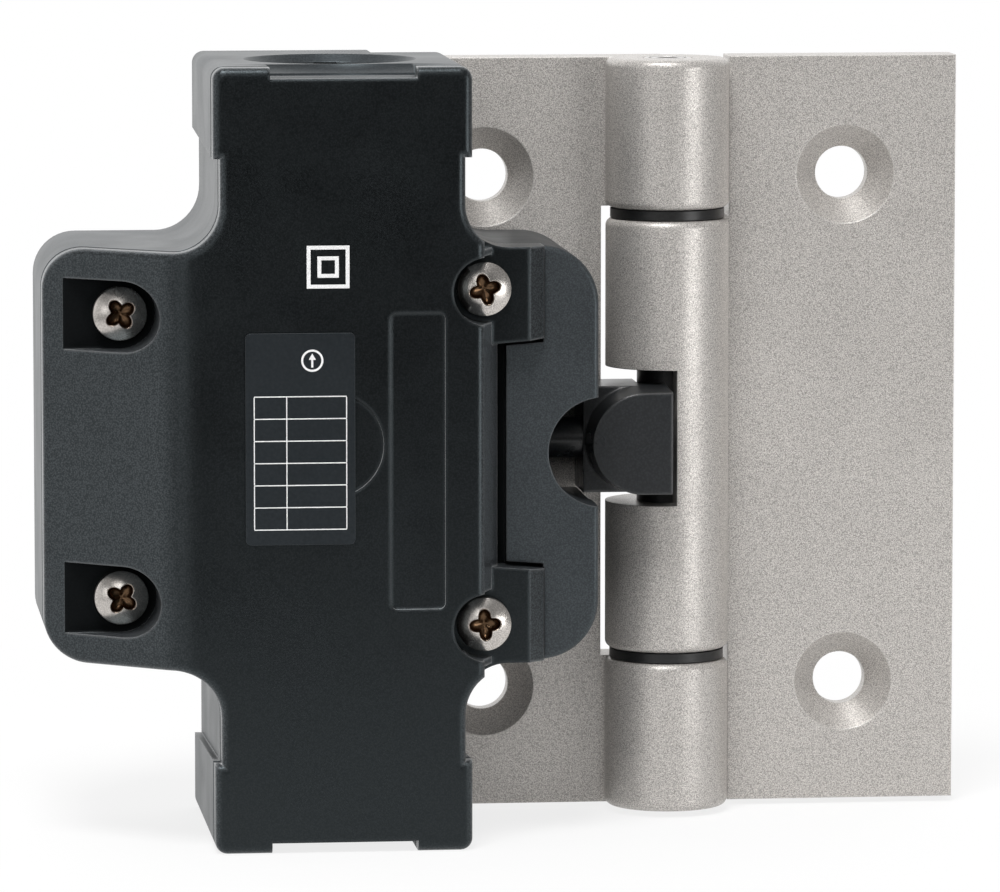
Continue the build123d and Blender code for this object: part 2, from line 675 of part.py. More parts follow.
# Front cover: thin moulded lid over the column and the left wing, with two lugs on the right
with BuildPart() as front_cover:
    extrude(housing_outline(0), amount=housing_depth)
    extrude(front_limit(0), amount=2 * housing_height, mode=Mode.INTERSECT)
    with BuildSketch(depth_plane(0)) as right_cut:
        with Locations((axis_x - cover_face_offset, 0)):
            Rectangle(leaf_reach, housing_height, align=(Align.MIN, Align.CENTER))
    extrude(amount=housing_depth, mode=Mode.SUBTRACT)
    front_faces = front_cover.faces().filter_by(lambda f: f.normal_at().Y < -front_slope_limit)
    side_faces = front_cover.faces().filter_by(lambda f: abs(f.normal_at().Y) < side_slope_limit)
    side_edges = side_faces.edges()
    rim = [e for e in front_faces.edges() if any(e.is_same(other) for other in side_edges)]
    fillet(rim, cover_edge_radius)
    extrude(front_limit(cover_thickness), amount=2 * housing_height, mode=Mode.SUBTRACT)
    with BuildSketch(Plane.XY.offset(-right_wing_height / 2)) as skirt:
        with BuildLine():
            Polyline(
                (column_right_x + seam_gap, -skirt_top_depth),
                (axis_x - cover_face_offset - skirt_inset, -skirt_top_depth),
                (skirt_x, -skirt_low_depth),
                (column_right_x + seam_gap, -skirt_low_depth),
                close=True,
            )
        make_face()
    extrude(amount=right_wing_height)
    for side in screw_rows:
        extrude(pocket_outline(cup_depth, side, pocket_wall, pocket_start), amount=housing_depth)
        extrude(lug_outline(lug_floor, side, 0), amount=right_seat_depth - lug_floor)
    with BuildSketch(depth_plane(0)) as lug_limit:
        add(housing_outline(0))
    extrude(amount=housing_depth, mode=Mode.INTERSECT)
    extrude(front_limit(0), amount=2 * housing_height, mode=Mode.INTERSECT)
    with BuildSketch(Plane.XY.offset(-housing_height / 2)) as lug_slope:
        with BuildLine():
            Polyline(
                (skirt_x + lug_crest_inset, -right_seat_depth),
                (lug_end_x + cut_margin, lug_edge_rise - lug_edge_depth),
                (lug_end_x + cut_margin, -housing_depth - cut_margin),
                (skirt_x + lug_crest_inset, -housing_depth - cut_margin),
                close=True,
            )
        make_face()
    extrude(amount=housing_height, mode=Mode.SUBTRACT)
    for side in screw_rows:
        extrude(pocket_outline(left_pocket_floor, side, 0, -cut_margin), amount=housing_depth, mode=Mode.SUBTRACT)
        with BuildSketch(depth_plane(right_seat_depth)) as notch:
            with Locations((right_screw_x, side * right_screw_z)):
                Circle(notch_radius)
                Rectangle(
                    leaf_reach,
                    2 * notch_radius,
                    align=(Align.MIN, Align.CENTER),
                )
        extrude(amount=housing_depth, mode=Mode.SUBTRACT)
        with BuildSketch(depth_plane(0)) as screw_holes:
            with Locations(
                (left_screw_x, side * left_screw_z),
                (right_screw_x, side * right_screw_z),
            ):
                Circle(screw_radius + screw_hole_clearance)
        extrude(amount=housing_depth, mode=Mode.SUBTRACT)
        with BuildSketch(depth_plane(0)) as end_recess:
            with Locations((cover_recess_centre_x, side * housing_height / 2)):
                Rectangle(cover_recess_width, 2 * cover_recess_depth)
        extrude(amount=housing_depth, mode=Mode.SUBTRACT)
    with BuildSketch(depth_plane(housing_depth)) as face_marks:
        with Locations((axis_x - (panel_x[0] + panel_x[1]) / 2, 0)):
            RectangleRounded(panel_x[0] - panel_x[1], 2 * panel_half_height, panel_radius)
        with Locations((axis_x - ring_offset, ring_z)):
            Circle(ring_radius)
    extrude(amount=-panel_depth, mode=Mode.SUBTRACT)
write_part(front_cover.part, "front_cover")

# Sealing gasket in the groove around the chamber
with BuildPart() as cover_gasket:
    extrude(gasket_outline(seam_depth, 0), amount=-gasket_height)
write_part(cover_gasket.part, "cover_gasket")

# Bare rating label in the middle of the cover
with BuildPart() as rating_label:
    label_width = label_x[0] - label_x[1]
    with BuildSketch(depth_plane(housing_depth)) as label_face:
        with Locations((axis_x - label_x[0] + label_width / 2, (label_z[0] + label_z[1]) / 2)):
            RectangleRounded(label_width, label_z[1] - label_z[0], label_radius)
    extrude(amount=label_thickness)
write_part(rating_label.part, "rating_label")

# Cover screws
for screw_x, screw_z, seat, length, screw_name in (
    (left_screw_x, left_screw_z, left_pocket_floor, left_screw_length, "cover_screws_left"),
    (right_screw_x, right_screw_z, right_seat_depth, right_screw_length, "cover_screws_right"),
):
    with BuildPart() as cover_screws:
        for side in screw_rows:
            pan_screw(screw_x, side * screw_z, seat, length, screw_radius, (screw_head_radius, screw_head_height))
    write_part(cover_screws.part, screw_name)

# Countersunk screws from the back of the fixed leaf into the housing
with BuildPart() as leaf_screws:
    for side in screw_rows:
        with BuildSketch(Plane.XY.offset(side * leaf_screw_z)) as leaf_screw_profile:
            with BuildLine():
                Polyline(
                    (leaf_screw_x, 0),
                    (leaf_screw_x + leaf_screw_head_radius, 0),
                    (leaf_screw_x + leaf_screw_radius, leaf_screw_radius - leaf_screw_head_radius),
                    (leaf_screw_x + leaf_screw_radius, -leaf_screw_length),
                    (leaf_screw_x, -leaf_screw_length),
                    close=True,
                )
            make_face()
        revolve(axis=Axis((leaf_screw_x, 0, side * leaf_screw_z), (0, 1, 0)))
        with BuildSketch(depth_plane(0)) as leaf_screw_socket:
            with Locations((leaf_screw_x, side * leaf_screw_z)):
                RegularPolygon(leaf_screw_socket_radius, 6)
        extrude(amount=leaf_screw_socket_depth, mode=Mode.SUBTRACT)
write_part(leaf_screws.part, "leaf_screws")

# Plunger head: block beside the pin, with a rounded front tine that reaches over the pin
with BuildPart() as plunger_head:
    with BuildSketch(depth_plane(head_rear_depth)) as head_block:
        with Locations((head_left_x, 0)):
            Rectangle(head_right_x - head_left_x, 2 * head_half_height, align=(Align.MIN, Align.CENTER))
    extrude(amount=head_front_depth - head_rear_depth)
    with BuildSketch(depth_plane(head_rear_depth)) as pin_clearance:
        with Locations((axis_x - sleeve_radius - tine_clearance, 0)):
            Rectangle(leaf_reach, leaf_reach, align=(Align.MIN, Align.CENTER))
    extrude(
        amount=axis_depth + sleeve_radius + tine_clearance - head_rear_depth,
        mode=Mode.SUBTRACT,
    )
    with BuildSketch(depth_plane(head_front_depth - head_flank_depth)) as head_corner:
        Rectangle(4 * leaf_reach, 4 * leaf_reach)
        with Locations((head_arc_x, 0)):
            Circle(head_half_height, mode=Mode.SUBTRACT)
            Rectangle(leaf_reach, 2 * head_half_height, align=(Align.MIN, Align.CENTER), mode=Mode.SUBTRACT)
    extrude(amount=head_flank_depth, taper=-head_flank_angle, mode=Mode.SUBTRACT)
    with BuildSketch(Plane.YZ.offset(head_left_x)) as stem_socket:
        with Locations((-stem_depth, 0)):
            Circle(stem_radius)
    extrude(amount=stem_socket_length, mode=Mode.SUBTRACT)
write_part(plunger_head.part, "plunger_head")

# Plunger stem between the head and the contact carrier
with BuildPart() as plunger_stem:
    with BuildSketch(Plane.YZ.offset(stem_tip_x)) as stem_section:
        with Locations((-stem_depth, 0)):
            Circle(stem_radius)
    extrude(amount=head_left_x + stem_socket_length - stem_tip_x)
write_part(plunger_stem.part, "plunger_stem")

# Guide bush and wiper seal in the wall that the stem passes through
with BuildPart() as guide_bush:
    with BuildSketch(Plane.YZ.offset(chamber_right_x)) as bush_section:
        with Locations((-stem_depth, 0)):
            Circle(bush_radius)
            Circle(stem_radius + running_clearance, mode=Mode.SUBTRACT)
    extrude(amount=bush_length)
write_part(guide_bush.part, "guide_bush")

with BuildPart() as plunger_seal:
    with BuildSketch(Plane.YZ.offset(channel_end_x - seal_length)) as seal_section:
        with Locations((-stem_depth, 0)):
            Circle(seal_radius)
            Circle(stem_radius + 2 * running_clearance, mode=Mode.SUBTRACT)
    extrude(amount=seal_length)
write_part(plunger_seal.part, "plunger_seal")

# Contact carrier: insulating slider with a slot for each bridge
with BuildPart() as contact_carrier:
    with BuildSketch(depth_plane(carrier_depths[0])) as carrier_plan:
        with Locations((carrier_left_x, 0)):
            Rectangle(carrier_length, 2 * carrier_half_height, align=(Align.MIN, Align.CENTER))
    extrude(amount=carrier_depths[1] - carrier_depths[0])
    chamfer(contact_carrier.edges().filter_by(Axis.Y), carrier_chamfer)
    with BuildSketch(depth_plane(bridge_depths[0])) as bridge_slots:
        with Locations((nc_bridge_x, 0), (no_bridge_x, 0)):
            Rectangle(bridge_thickness, 4 * carrier_half_height)
    extrude(amount=carrier_depths[1] - bridge_depths[0], mode=Mode.SUBTRACT)
    with BuildSketch(Plane.YZ.offset(stem_tip_x)) as tip_socket:
        with Locations((-stem_depth, 0)):
            Circle(stem_radius)
    extrude(amount=carrier_length, mode=Mode.SUBTRACT)
write_part(contact_carrier.part, "contact_carrier")

# Contact bridges: the closed one faces right, and the open one faces left
for bridge_x, facing, bridge_name in ((nc_bridge_x, 1, "nc_bridge"), (no_bridge_x, -1, "no_bridge")):
    with BuildPart() as bridge:
        with BuildSketch(depth_plane(bridge_depths[0])) as bridge_plan:
            with Locations((bridge_x, 0)):
                Rectangle(bridge_thickness, 2 * bridge_half_length)
        extrude(amount=bridge_depths[1] - bridge_depths[0])
        with BuildSketch(Plane.YZ.offset(bridge_x + facing * bridge_thickness / 2)) as rivets:
            with Locations(*[(-sum(bridge_depths) / 2, side * rivet_z) for side in screw_rows]):
                Circle(rivet_radius)
        extrude(amount=facing * rivet_height)
    write_part(bridge.part, bridge_name)

# Contact block: plate, guide rails and a terminal bench at each end
with BuildPart() as contact_block:
    with BuildSketch(depth_plane(plate_depths[0])) as block_plate:
        with Locations((chamber_centre_x, 0)):
            Rectangle(block_width, 2 * bench_outer_z)
    extrude(amount=plate_depths[1] - plate_depths[0])
    with BuildSketch(depth_plane(plate_depths[1])) as rails:
        with Locations(*[(chamber_centre_x, side * rail_z) for side in screw_rows]):
            Rectangle(block_width, rail_width)
    extrude(amount=rail_height)
    with BuildSketch(depth_plane(plate_depths[1])) as benches:
        for side in screw_rows:
            with Locations((chamber_centre_x, side * (bench_inner_z + bench_outer_z) / 2)):
                Rectangle(block_width, bench_outer_z - bench_inner_z)
    extrude(amount=bench_depth - plate_depths[1])
    with BuildSketch(depth_plane(bench_depth)) as bench_holes:
        for side in screw_rows:
            with Locations((nc_pad_x, side * pad_z), (no_pad_x, side * pad_z)):
                Circle(screw_radius + thread_clearance)
            with Locations((block_screw_x, side * pad_z)):
                Circle(block_screw_radius + screw_hole_clearance)
    extrude(amount=-bench_depth, mode=Mode.SUBTRACT)
write_part(contact_block.part, "contact_block")

# Fixed contacts: a blade beside the bridge's path and a pad on the bench
fixed_contact_places = (
    (nc_strip_x, nc_pad_x, 1, "nc_contact_upper"),
    (nc_strip_x, nc_pad_x, -1, "nc_contact_lower"),
    (no_strip_x, no_pad_x, 1, "no_contact_upper"),
    (no_strip_x, no_pad_x, -1, "no_contact_lower"),
)
for strip_x, pad_x, side, contact_name in fixed_contact_places:
    blade_length = bench_inner_z - blade_gap - blade_inner_z
    with BuildPart() as fixed_contact:
        with BuildSketch(depth_plane(bridge_depths[0])) as blade:
            with Locations((strip_x, side * (blade_inner_z + blade_length / 2))):
                Rectangle(strip_thickness, blade_length)
        extrude(amount=bench_depth + pad_thickness - bridge_depths[0])
        with BuildSketch(depth_plane(bench_depth)) as pad:
            with Locations((pad_x, side * pad_z)):
                Rectangle(pad_size, 2 * (pad_z - bench_inner_z))
                Circle(screw_radius + screw_hole_clearance, mode=Mode.SUBTRACT)
            with Locations((strip_x, side * (bench_inner_z - blade_gap))):
                Rectangle(strip_thickness, foot_length)
        extrude(amount=pad_thickness)
    write_part(fixed_contact.part, contact_name)

# Terminal clamps and screws, one on each pad
pad_places = [(pad_x, side * pad_z) for pad_x in (nc_pad_x, no_pad_x) for side in screw_rows]
clamp_depth = bench_depth + pad_thickness + wire_gap
with BuildPart() as terminal_clamps:
    with BuildSketch(depth_plane(clamp_depth)) as clamp_plan:
        with Locations(*pad_places):
            Rectangle(clamp_size, clamp_size)
            Circle(screw_radius + screw_hole_clearance, mode=Mode.SUBTRACT)
    extrude(amount=clamp_thickness)
write_part(terminal_clamps.part, "terminal_clamps")

with BuildPart() as terminal_screws:
    for place_x, place_z in pad_places:
        seat = clamp_depth + clamp_thickness
        head = (screw_head_radius, screw_head_height)
        slotted_screw(place_x, place_z, seat, terminal_screw_length, screw_radius, head)
write_part(terminal_screws.part, "terminal_screws")

with BuildPart() as block_screws:
    for side in screw_rows:
        place_z = side * pad_z
        slotted_screw(block_screw_x, place_z, bench_depth, block_screw_length, block_screw_radius, block_screw_head)
write_part(block_screws.part, "block_screws")

# Return spring between the chamber's left wall and the carrier
with BuildPart() as return_spring:
    spring_start_x = chamber_left_x + spring_wire + spring_end_gap
    spring_length = carrier_left_x - chamber_left_x - 2 * (spring_wire + spring_end_gap)
    with BuildLine():
        coil = Helix(
            pitch=spring_length / spring_turns,
            height=spring_length,
            radius=spring_radius,
            center=(spring_start_x, -stem_depth, 0),
            direction=(1, 0, 0),
        )
    with BuildSketch(Plane(origin=coil @ 0, z_dir=coil % 0)):
        RegularPolygon(spring_wire, 6)
    sweep(path=coil, is_frenet=True)
write_part(return_spring.part, "return_spring")
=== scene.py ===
"""Safety hinge switch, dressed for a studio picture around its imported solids.

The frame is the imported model's own: +Z up along the hinge, +X from the housing to the moving
leaf, -Y to the front, in metres. Sizes are in millimetres where a name ends in _mm or a class says so.
"""
import logging
import math
from dataclasses import dataclass, field
from enum import Enum

import bmesh
import bpy
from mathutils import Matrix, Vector
from mathutils.kdtree import KDTree


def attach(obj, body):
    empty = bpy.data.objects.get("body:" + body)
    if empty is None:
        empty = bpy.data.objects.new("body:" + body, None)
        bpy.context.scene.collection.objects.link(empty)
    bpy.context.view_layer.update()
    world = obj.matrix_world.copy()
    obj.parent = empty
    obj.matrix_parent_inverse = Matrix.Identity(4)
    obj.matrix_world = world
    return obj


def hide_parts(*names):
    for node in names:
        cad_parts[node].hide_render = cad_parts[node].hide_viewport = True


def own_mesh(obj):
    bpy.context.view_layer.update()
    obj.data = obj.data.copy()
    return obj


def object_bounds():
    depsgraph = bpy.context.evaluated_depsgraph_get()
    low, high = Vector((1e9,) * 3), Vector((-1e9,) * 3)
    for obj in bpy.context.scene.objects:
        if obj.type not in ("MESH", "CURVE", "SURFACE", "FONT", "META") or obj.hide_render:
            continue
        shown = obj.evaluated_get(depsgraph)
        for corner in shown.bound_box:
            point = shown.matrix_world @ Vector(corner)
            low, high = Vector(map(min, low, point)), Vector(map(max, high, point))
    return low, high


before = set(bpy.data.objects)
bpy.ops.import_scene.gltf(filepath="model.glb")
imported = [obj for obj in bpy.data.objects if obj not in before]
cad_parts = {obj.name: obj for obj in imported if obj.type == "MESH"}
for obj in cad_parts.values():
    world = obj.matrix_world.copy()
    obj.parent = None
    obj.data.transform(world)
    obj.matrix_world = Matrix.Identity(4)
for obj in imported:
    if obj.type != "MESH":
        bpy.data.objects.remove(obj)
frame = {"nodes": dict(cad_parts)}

CAD_BOUNDS = [[float(value) for value in corner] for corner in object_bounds()]
MM = 0.001

log = logging.getLogger("hinge_switch")
Triple = tuple[float, float, float]
Pair = tuple[float, float]
Outline = list[Pair]
Socket = bpy.types.NodeSocket
Piece = bpy.types.Object
BLUE_SHEEN = (0.80, 0.94, 1.0)
WHITE = (1.0, 1.0, 1.0, 1.0)


class Slot(Enum):
    """The record's material slots."""

    ZINC = "die_cast_zinc"
    PIN = "pin_steel"
    NYLON = "black_nylon"
    HOUSING = "housing_plastic"
    PLUNGER = "plunger_plastic"
    RUBBER = "seal_rubber"
    LABEL = "label_film"
    SCREW = "screw_steel"
    BLOCK = "block_plastic"
    BRASS = "contact_brass"
    CLAMP = "clamp_steel"


class Body(Enum):
    """The record's bodies that a new piece rides on."""

    HOUSING = "housing"


def grey(value: float, warm: float = 0.0) -> Triple:
    """Gives a linear grey with a slight cast: warm is the share added to red and taken from blue."""
    return (value * (1 + warm), value, value * (1 - warm))


class NodeBoard:
    """Adds and links the nodes of one node tree."""

    def __init__(self, tree: bpy.types.NodeTree) -> None:
        """Keeps the tree that the nodes go into."""
        self.tree = tree

    def add(self, kind: str, inputs: dict | None = None, **settings: object) -> bpy.types.Node:
        """Adds one node.

        Args:
            kind: The node's type name.
            inputs: Values or output sockets by input name or index.
            **settings: Properties of the node itself.

        Returns:
            The new node.
        """
        node = self.tree.nodes.new(kind)
        for key, value in settings.items():
            setattr(node, key, value)
        for key, value in (inputs or {}).items():
            if isinstance(value, Socket):
                self.tree.links.new(value, node.inputs[key])
            else:
                node.inputs[key].default_value = value
        return node

    def math(self, operation: str, first: object, second: object = 0.0) -> Socket:
        """Puts two numbers or sockets through a Math node and gives its output socket."""
        return self.add("ShaderNodeMath", {0: first, 1: second}, operation=operation).outputs[0]

    def remap(self, value: Socket, low: object, high: object,
              to_low: object = 0.0, to_high: object = 1.0) -> Socket:
        """Stretches a value so that low and high become to_low and to_high, and clamps it."""
        places = {"Value": value, "From Min": low, "From Max": high, "To Min": to_low, "To Max": to_high}
        return self.add("ShaderNodeMapRange", places).outputs["Result"]

    def mix(self, factor: object, first: object, second: object) -> Socket:
        """Mixes two colours, each a tuple or a socket, by the share of the second one."""
        ends = [(*end, 1.0) if isinstance(end, tuple) else end for end in (first, second)]
        return self.add("ShaderNodeMix", {0: factor, 6: ends[0], 7: ends[1]}, data_type="RGBA").outputs[2]


def blank_board(owner: bpy.types.Material | bpy.types.World) -> NodeBoard:
    """Empties a material's or a world's node tree and gives its board."""
    owner.use_nodes = True
    owner.node_tree.nodes.clear()
    return NodeBoard(owner.node_tree)


class SharedEffects:
    """Shader node groups that more than one finish uses."""

    def __init__(self) -> None:
        """Builds every group once."""
        self.grain = self._grain()
        self.rounded = self._rounded()
        self.patches = self._patches()
        self.seam = self._seam()

    @staticmethod
    def _group(name: str, inputs: dict[str, float],
               outputs: dict[str, str]) -> tuple[bpy.types.NodeTree, NodeBoard, bpy.types.Node]:
        """Starts a group with named sockets.

        Args:
            name: The group's name.
            inputs: Default value by input name.
            outputs: Socket type by output name.

        Returns:
            The group, its board and its input node.
        """
        group = bpy.data.node_groups.new(name, "ShaderNodeTree")
        for label, value in inputs.items():
            socket = group.interface.new_socket(label, in_out="INPUT", socket_type="NodeSocketFloat")
            socket.default_value = value
        for label, kind in outputs.items():
            group.interface.new_socket(label, in_out="OUTPUT", socket_type=kind)
        board = NodeBoard(group)
        return group, board, board.add("NodeGroupInput")

    def _grain(self) -> bpy.types.NodeTree:
        """Builds the fine speckle of a moulded or blasted surface.

        Returns:
            The group, with Tone and Height outputs.
        """
        group, board, given = self._group(
            "surface_grain", {"Scale": 4000.0, "Speck Share": 0.5},
            {"Tone": "NodeSocketFloat", "Height": "NodeSocketFloat"})
        place = board.add("ShaderNodeTexCoord").outputs["Object"]
        fine = board.add("ShaderNodeTexNoise", {
            "Vector": place, "Scale": given.outputs["Scale"], "Detail": 2.0, "Roughness": 0.6})
        specks = board.add("ShaderNodeTexVoronoi", {"Vector": place, "Scale": given.outputs["Scale"]})
        speck = board.remap(specks.outputs["Distance"], 0.1, 0.75, 1.0, 0.0)
        blend = board.add("ShaderNodeMix", {
            0: given.outputs["Speck Share"], 2: fine.outputs["Fac"], 3: speck})
        tone = board.remap(blend.outputs[0], 0.32, 0.68)
        board.add("NodeGroupOutput", {"Tone": tone, "Height": blend.outputs[0]})
        return group

    def _rounded(self) -> bpy.types.NodeTree:
        """Builds the small radius of an edge and the mask of its painted edge highlight.

        Returns:
            The group, with Normal and Edge outputs.
        """
        group, board, given = self._group(
            "rounded_edges", {"Radius": 0.0002, "Sharpness": 4.0},
            {"Normal": "NodeSocketVector", "Edge": "NodeSocketFloat"})
        bevel = board.add("ShaderNodeBevel", {"Radius": given.outputs["Radius"]}, samples=6)
        true_normal = board.add("ShaderNodeNewGeometry").outputs["Normal"]
        turned = board.add("ShaderNodeVectorMath", {0: bevel.outputs[0], 1: true_normal},
                           operation="DOT_PRODUCT")
        bend = board.math("SUBTRACT", 1.0, turned.outputs["Value"])
        sharper = board.math("MULTIPLY", bend, given.outputs["Sharpness"])
        mask = board.add("ShaderNodeClamp", {"Value": sharper})
        board.add("NodeGroupOutput", {"Normal": bevel.outputs[0], "Edge": mask.outputs[0]})
        return group

    def _patches(self) -> bpy.types.NodeTree:
        """Builds the slow change of tone over a surface that is handled.

        Returns:
            The group, with a Tone output around 0.5.
        """
        group, board, given = self._group(
            "slow_patches", {"Scale": 90.0}, {"Tone": "NodeSocketFloat"})
        place = board.add("ShaderNodeTexCoord").outputs["Object"]
        clouds = board.add("ShaderNodeTexNoise", {
            "Vector": place, "Scale": given.outputs["Scale"], "Detail": 4.0, "Distortion": 0.6})
        board.add("NodeGroupOutput", {"Tone": board.remap(clouds.outputs["Fac"], 0.3, 0.7)})
        return group

    def _seam(self) -> bpy.types.NodeTree:
        """Builds the shallow groove that follows the cover's edge around the base.

        Returns:
            The group, with a Height output.
        """
        group, board, given = self._group(
            "seam_groove", {"Wing X": -54.2 * MM, "Crest X": -38.6 * MM, "Wing Depth": 21.2 * MM,
                            "Column Depth": 33.8 * MM, "Width": 0.9 * MM},
            {"Height": "NodeSocketFloat"})
        place = board.add("ShaderNodeSeparateXYZ", {
            "Vector": board.add("ShaderNodeTexCoord").outputs["Object"]})
        edge = board.remap(place.outputs["X"], given.outputs["Wing X"], given.outputs["Crest X"],
                           given.outputs["Wing Depth"], given.outputs["Column Depth"])
        behind = board.math("ADD", edge, place.outputs["Y"])
        off = board.math("ABSOLUTE", board.math("SUBTRACT", behind, given.outputs["Width"]))
        share = board.math("DIVIDE", off, given.outputs["Width"])
        board.add("NodeGroupOutput", {"Height": board.remap(share, 0.0, 1.0)})
        return group


@dataclass(frozen=True)
class Finish:
    """One procedural finish: two tones of grain, a painted highlight along its edges and a slow change of
    gloss.
    """

    name: str
    slot: Slot
    dark: Triple
    light: Triple
    # The colour of the painted highlight along the edges.
    edge: Triple
    roughness: Pair
    metallic: float = 0.0
    grain_scale: float = 5000.0
    speck_share: float = 0.5
    bump_mm: float = 0.01
    bump_strength: float = 0.5
    edge_radius_mm: float = 0.1
    edge_gain: float = 3.0
    specular: float = 0.5
    patch_scale: float = 90.0
    tint: Triple = (1.0, 1.0, 1.0)
    seam: bool = False
    only: tuple[str, ...] = ()

    def build(self, shared: SharedEffects) -> bpy.types.Material:
        """Builds the material.

        Args:
            shared: The node groups that it uses.

        Returns:
            The finished material.
        """
        material = bpy.data.materials.new(self.name)
        board = blank_board(material)
        grain = board.add("ShaderNodeGroup", {"Scale": self.grain_scale, "Speck Share": self.speck_share},
                          node_tree=shared.grain)
        rounded = board.add("ShaderNodeGroup", {
            "Radius": self.edge_radius_mm * MM, "Sharpness": self.edge_gain}, node_tree=shared.rounded)
        patches = board.add("ShaderNodeGroup", {"Scale": self.patch_scale}, node_tree=shared.patches)
        speckled = board.mix(grain.outputs["Tone"], self.dark, self.light)
        # The edge colour is a painted highlight along the edges; the next step adds a finish's own stain and
        # its painted light.
        colour = self.stain_and_painted_light(board, board.mix(rounded.outputs["Edge"], speckled, self.edge))
        gloss = board.remap(patches.outputs["Tone"], 0.0, 1.0, *self.roughness)
        normal = rounded.outputs["Normal"]
        if self.seam:
            seam = board.add("ShaderNodeGroup", node_tree=shared.seam)
            normal = board.add("ShaderNodeBump", {
                "Height": seam.outputs["Height"], "Normal": normal, "Strength": 1.0,
                "Distance": 1.0 * MM}).outputs["Normal"]
        bump = board.add("ShaderNodeBump", {
            "Height": grain.outputs["Height"], "Normal": normal,
            "Strength": self.bump_strength, "Distance": self.bump_mm * MM})
        shader = board.add("ShaderNodeBsdfPrincipled", {
            "Base Color": colour, "Roughness": gloss, "Normal": bump.outputs["Normal"],
            "Metallic": self.metallic, "Specular IOR Level": self.specular,
            "Specular Tint": (*self.tint, 1.0)})
        board.add("ShaderNodeOutputMaterial", {"Surface": shader.outputs["BSDF"]})
        return material

    def stain_and_painted_light(self, board: NodeBoard, colour: Socket) -> Socket:
        """Adds a finish's own stain and its painted light to the colour; here there are none and it stays."""
        return colour


@dataclass(frozen=True)
class ScrewFinish(Finish):
    """Nickelled steel whose driver recess is stained brown."""

    recess: Triple = (0.115, 0.070, 0.040)

    def stain_and_painted_light(self, board: NodeBoard, colour: Socket) -> Socket:
        """Darkens the colour in the recess, by the head's own attribute."""
        mask = board.add("ShaderNodeAttribute", attribute_name=ScrewHead.MASK).outputs["Fac"]
        return board.mix(mask, colour, self.recess)


@dataclass(frozen=True)
class CoverFinish(Finish):
    """Moulded plastic that is textured on its slopes, with painted shade on faces that look straight ahead
    and a painted highlight on steep faces and round its rim.
    """

    front_painted_shade: float = 0.18
    front_range: Pair = (0.78, 0.995)
    rim_painted_highlight: float = 2.6
    rim_range: Pair = (0.3, 0.66)

    def stain_and_painted_light(self, board: NodeBoard, colour: Socket) -> Socket:
        """Paints shade on faces that look straight ahead and a highlight on steep ones.

        Args:
            board: The material's board.
            colour: The colour of the slopes.

        Returns:
            The colour with its painted shade and highlight.
        """
        # Painted light by facing: shade on faces that look straight ahead, a highlight on steep faces, the
        # skirt and the rim.
        facing = board.add("ShaderNodeTexCoord").outputs["Normal"]
        ahead = board.add("ShaderNodeVectorMath", {0: facing, 1: (0.0, -1.0, 0.0)}, operation="DOT_PRODUCT")
        share = board.remap(ahead.outputs["Value"], *self.front_range, 1.0, self.front_painted_shade)
        rim = board.remap(ahead.outputs["Value"], *self.rim_range, self.rim_painted_highlight, 1.0)
        share = board.math("MULTIPLY", share, rim)
        toned = board.add("ShaderNodeVectorMath", {0: colour, "Scale": share}, operation="SCALE")
        return toned.outputs["Vector"]
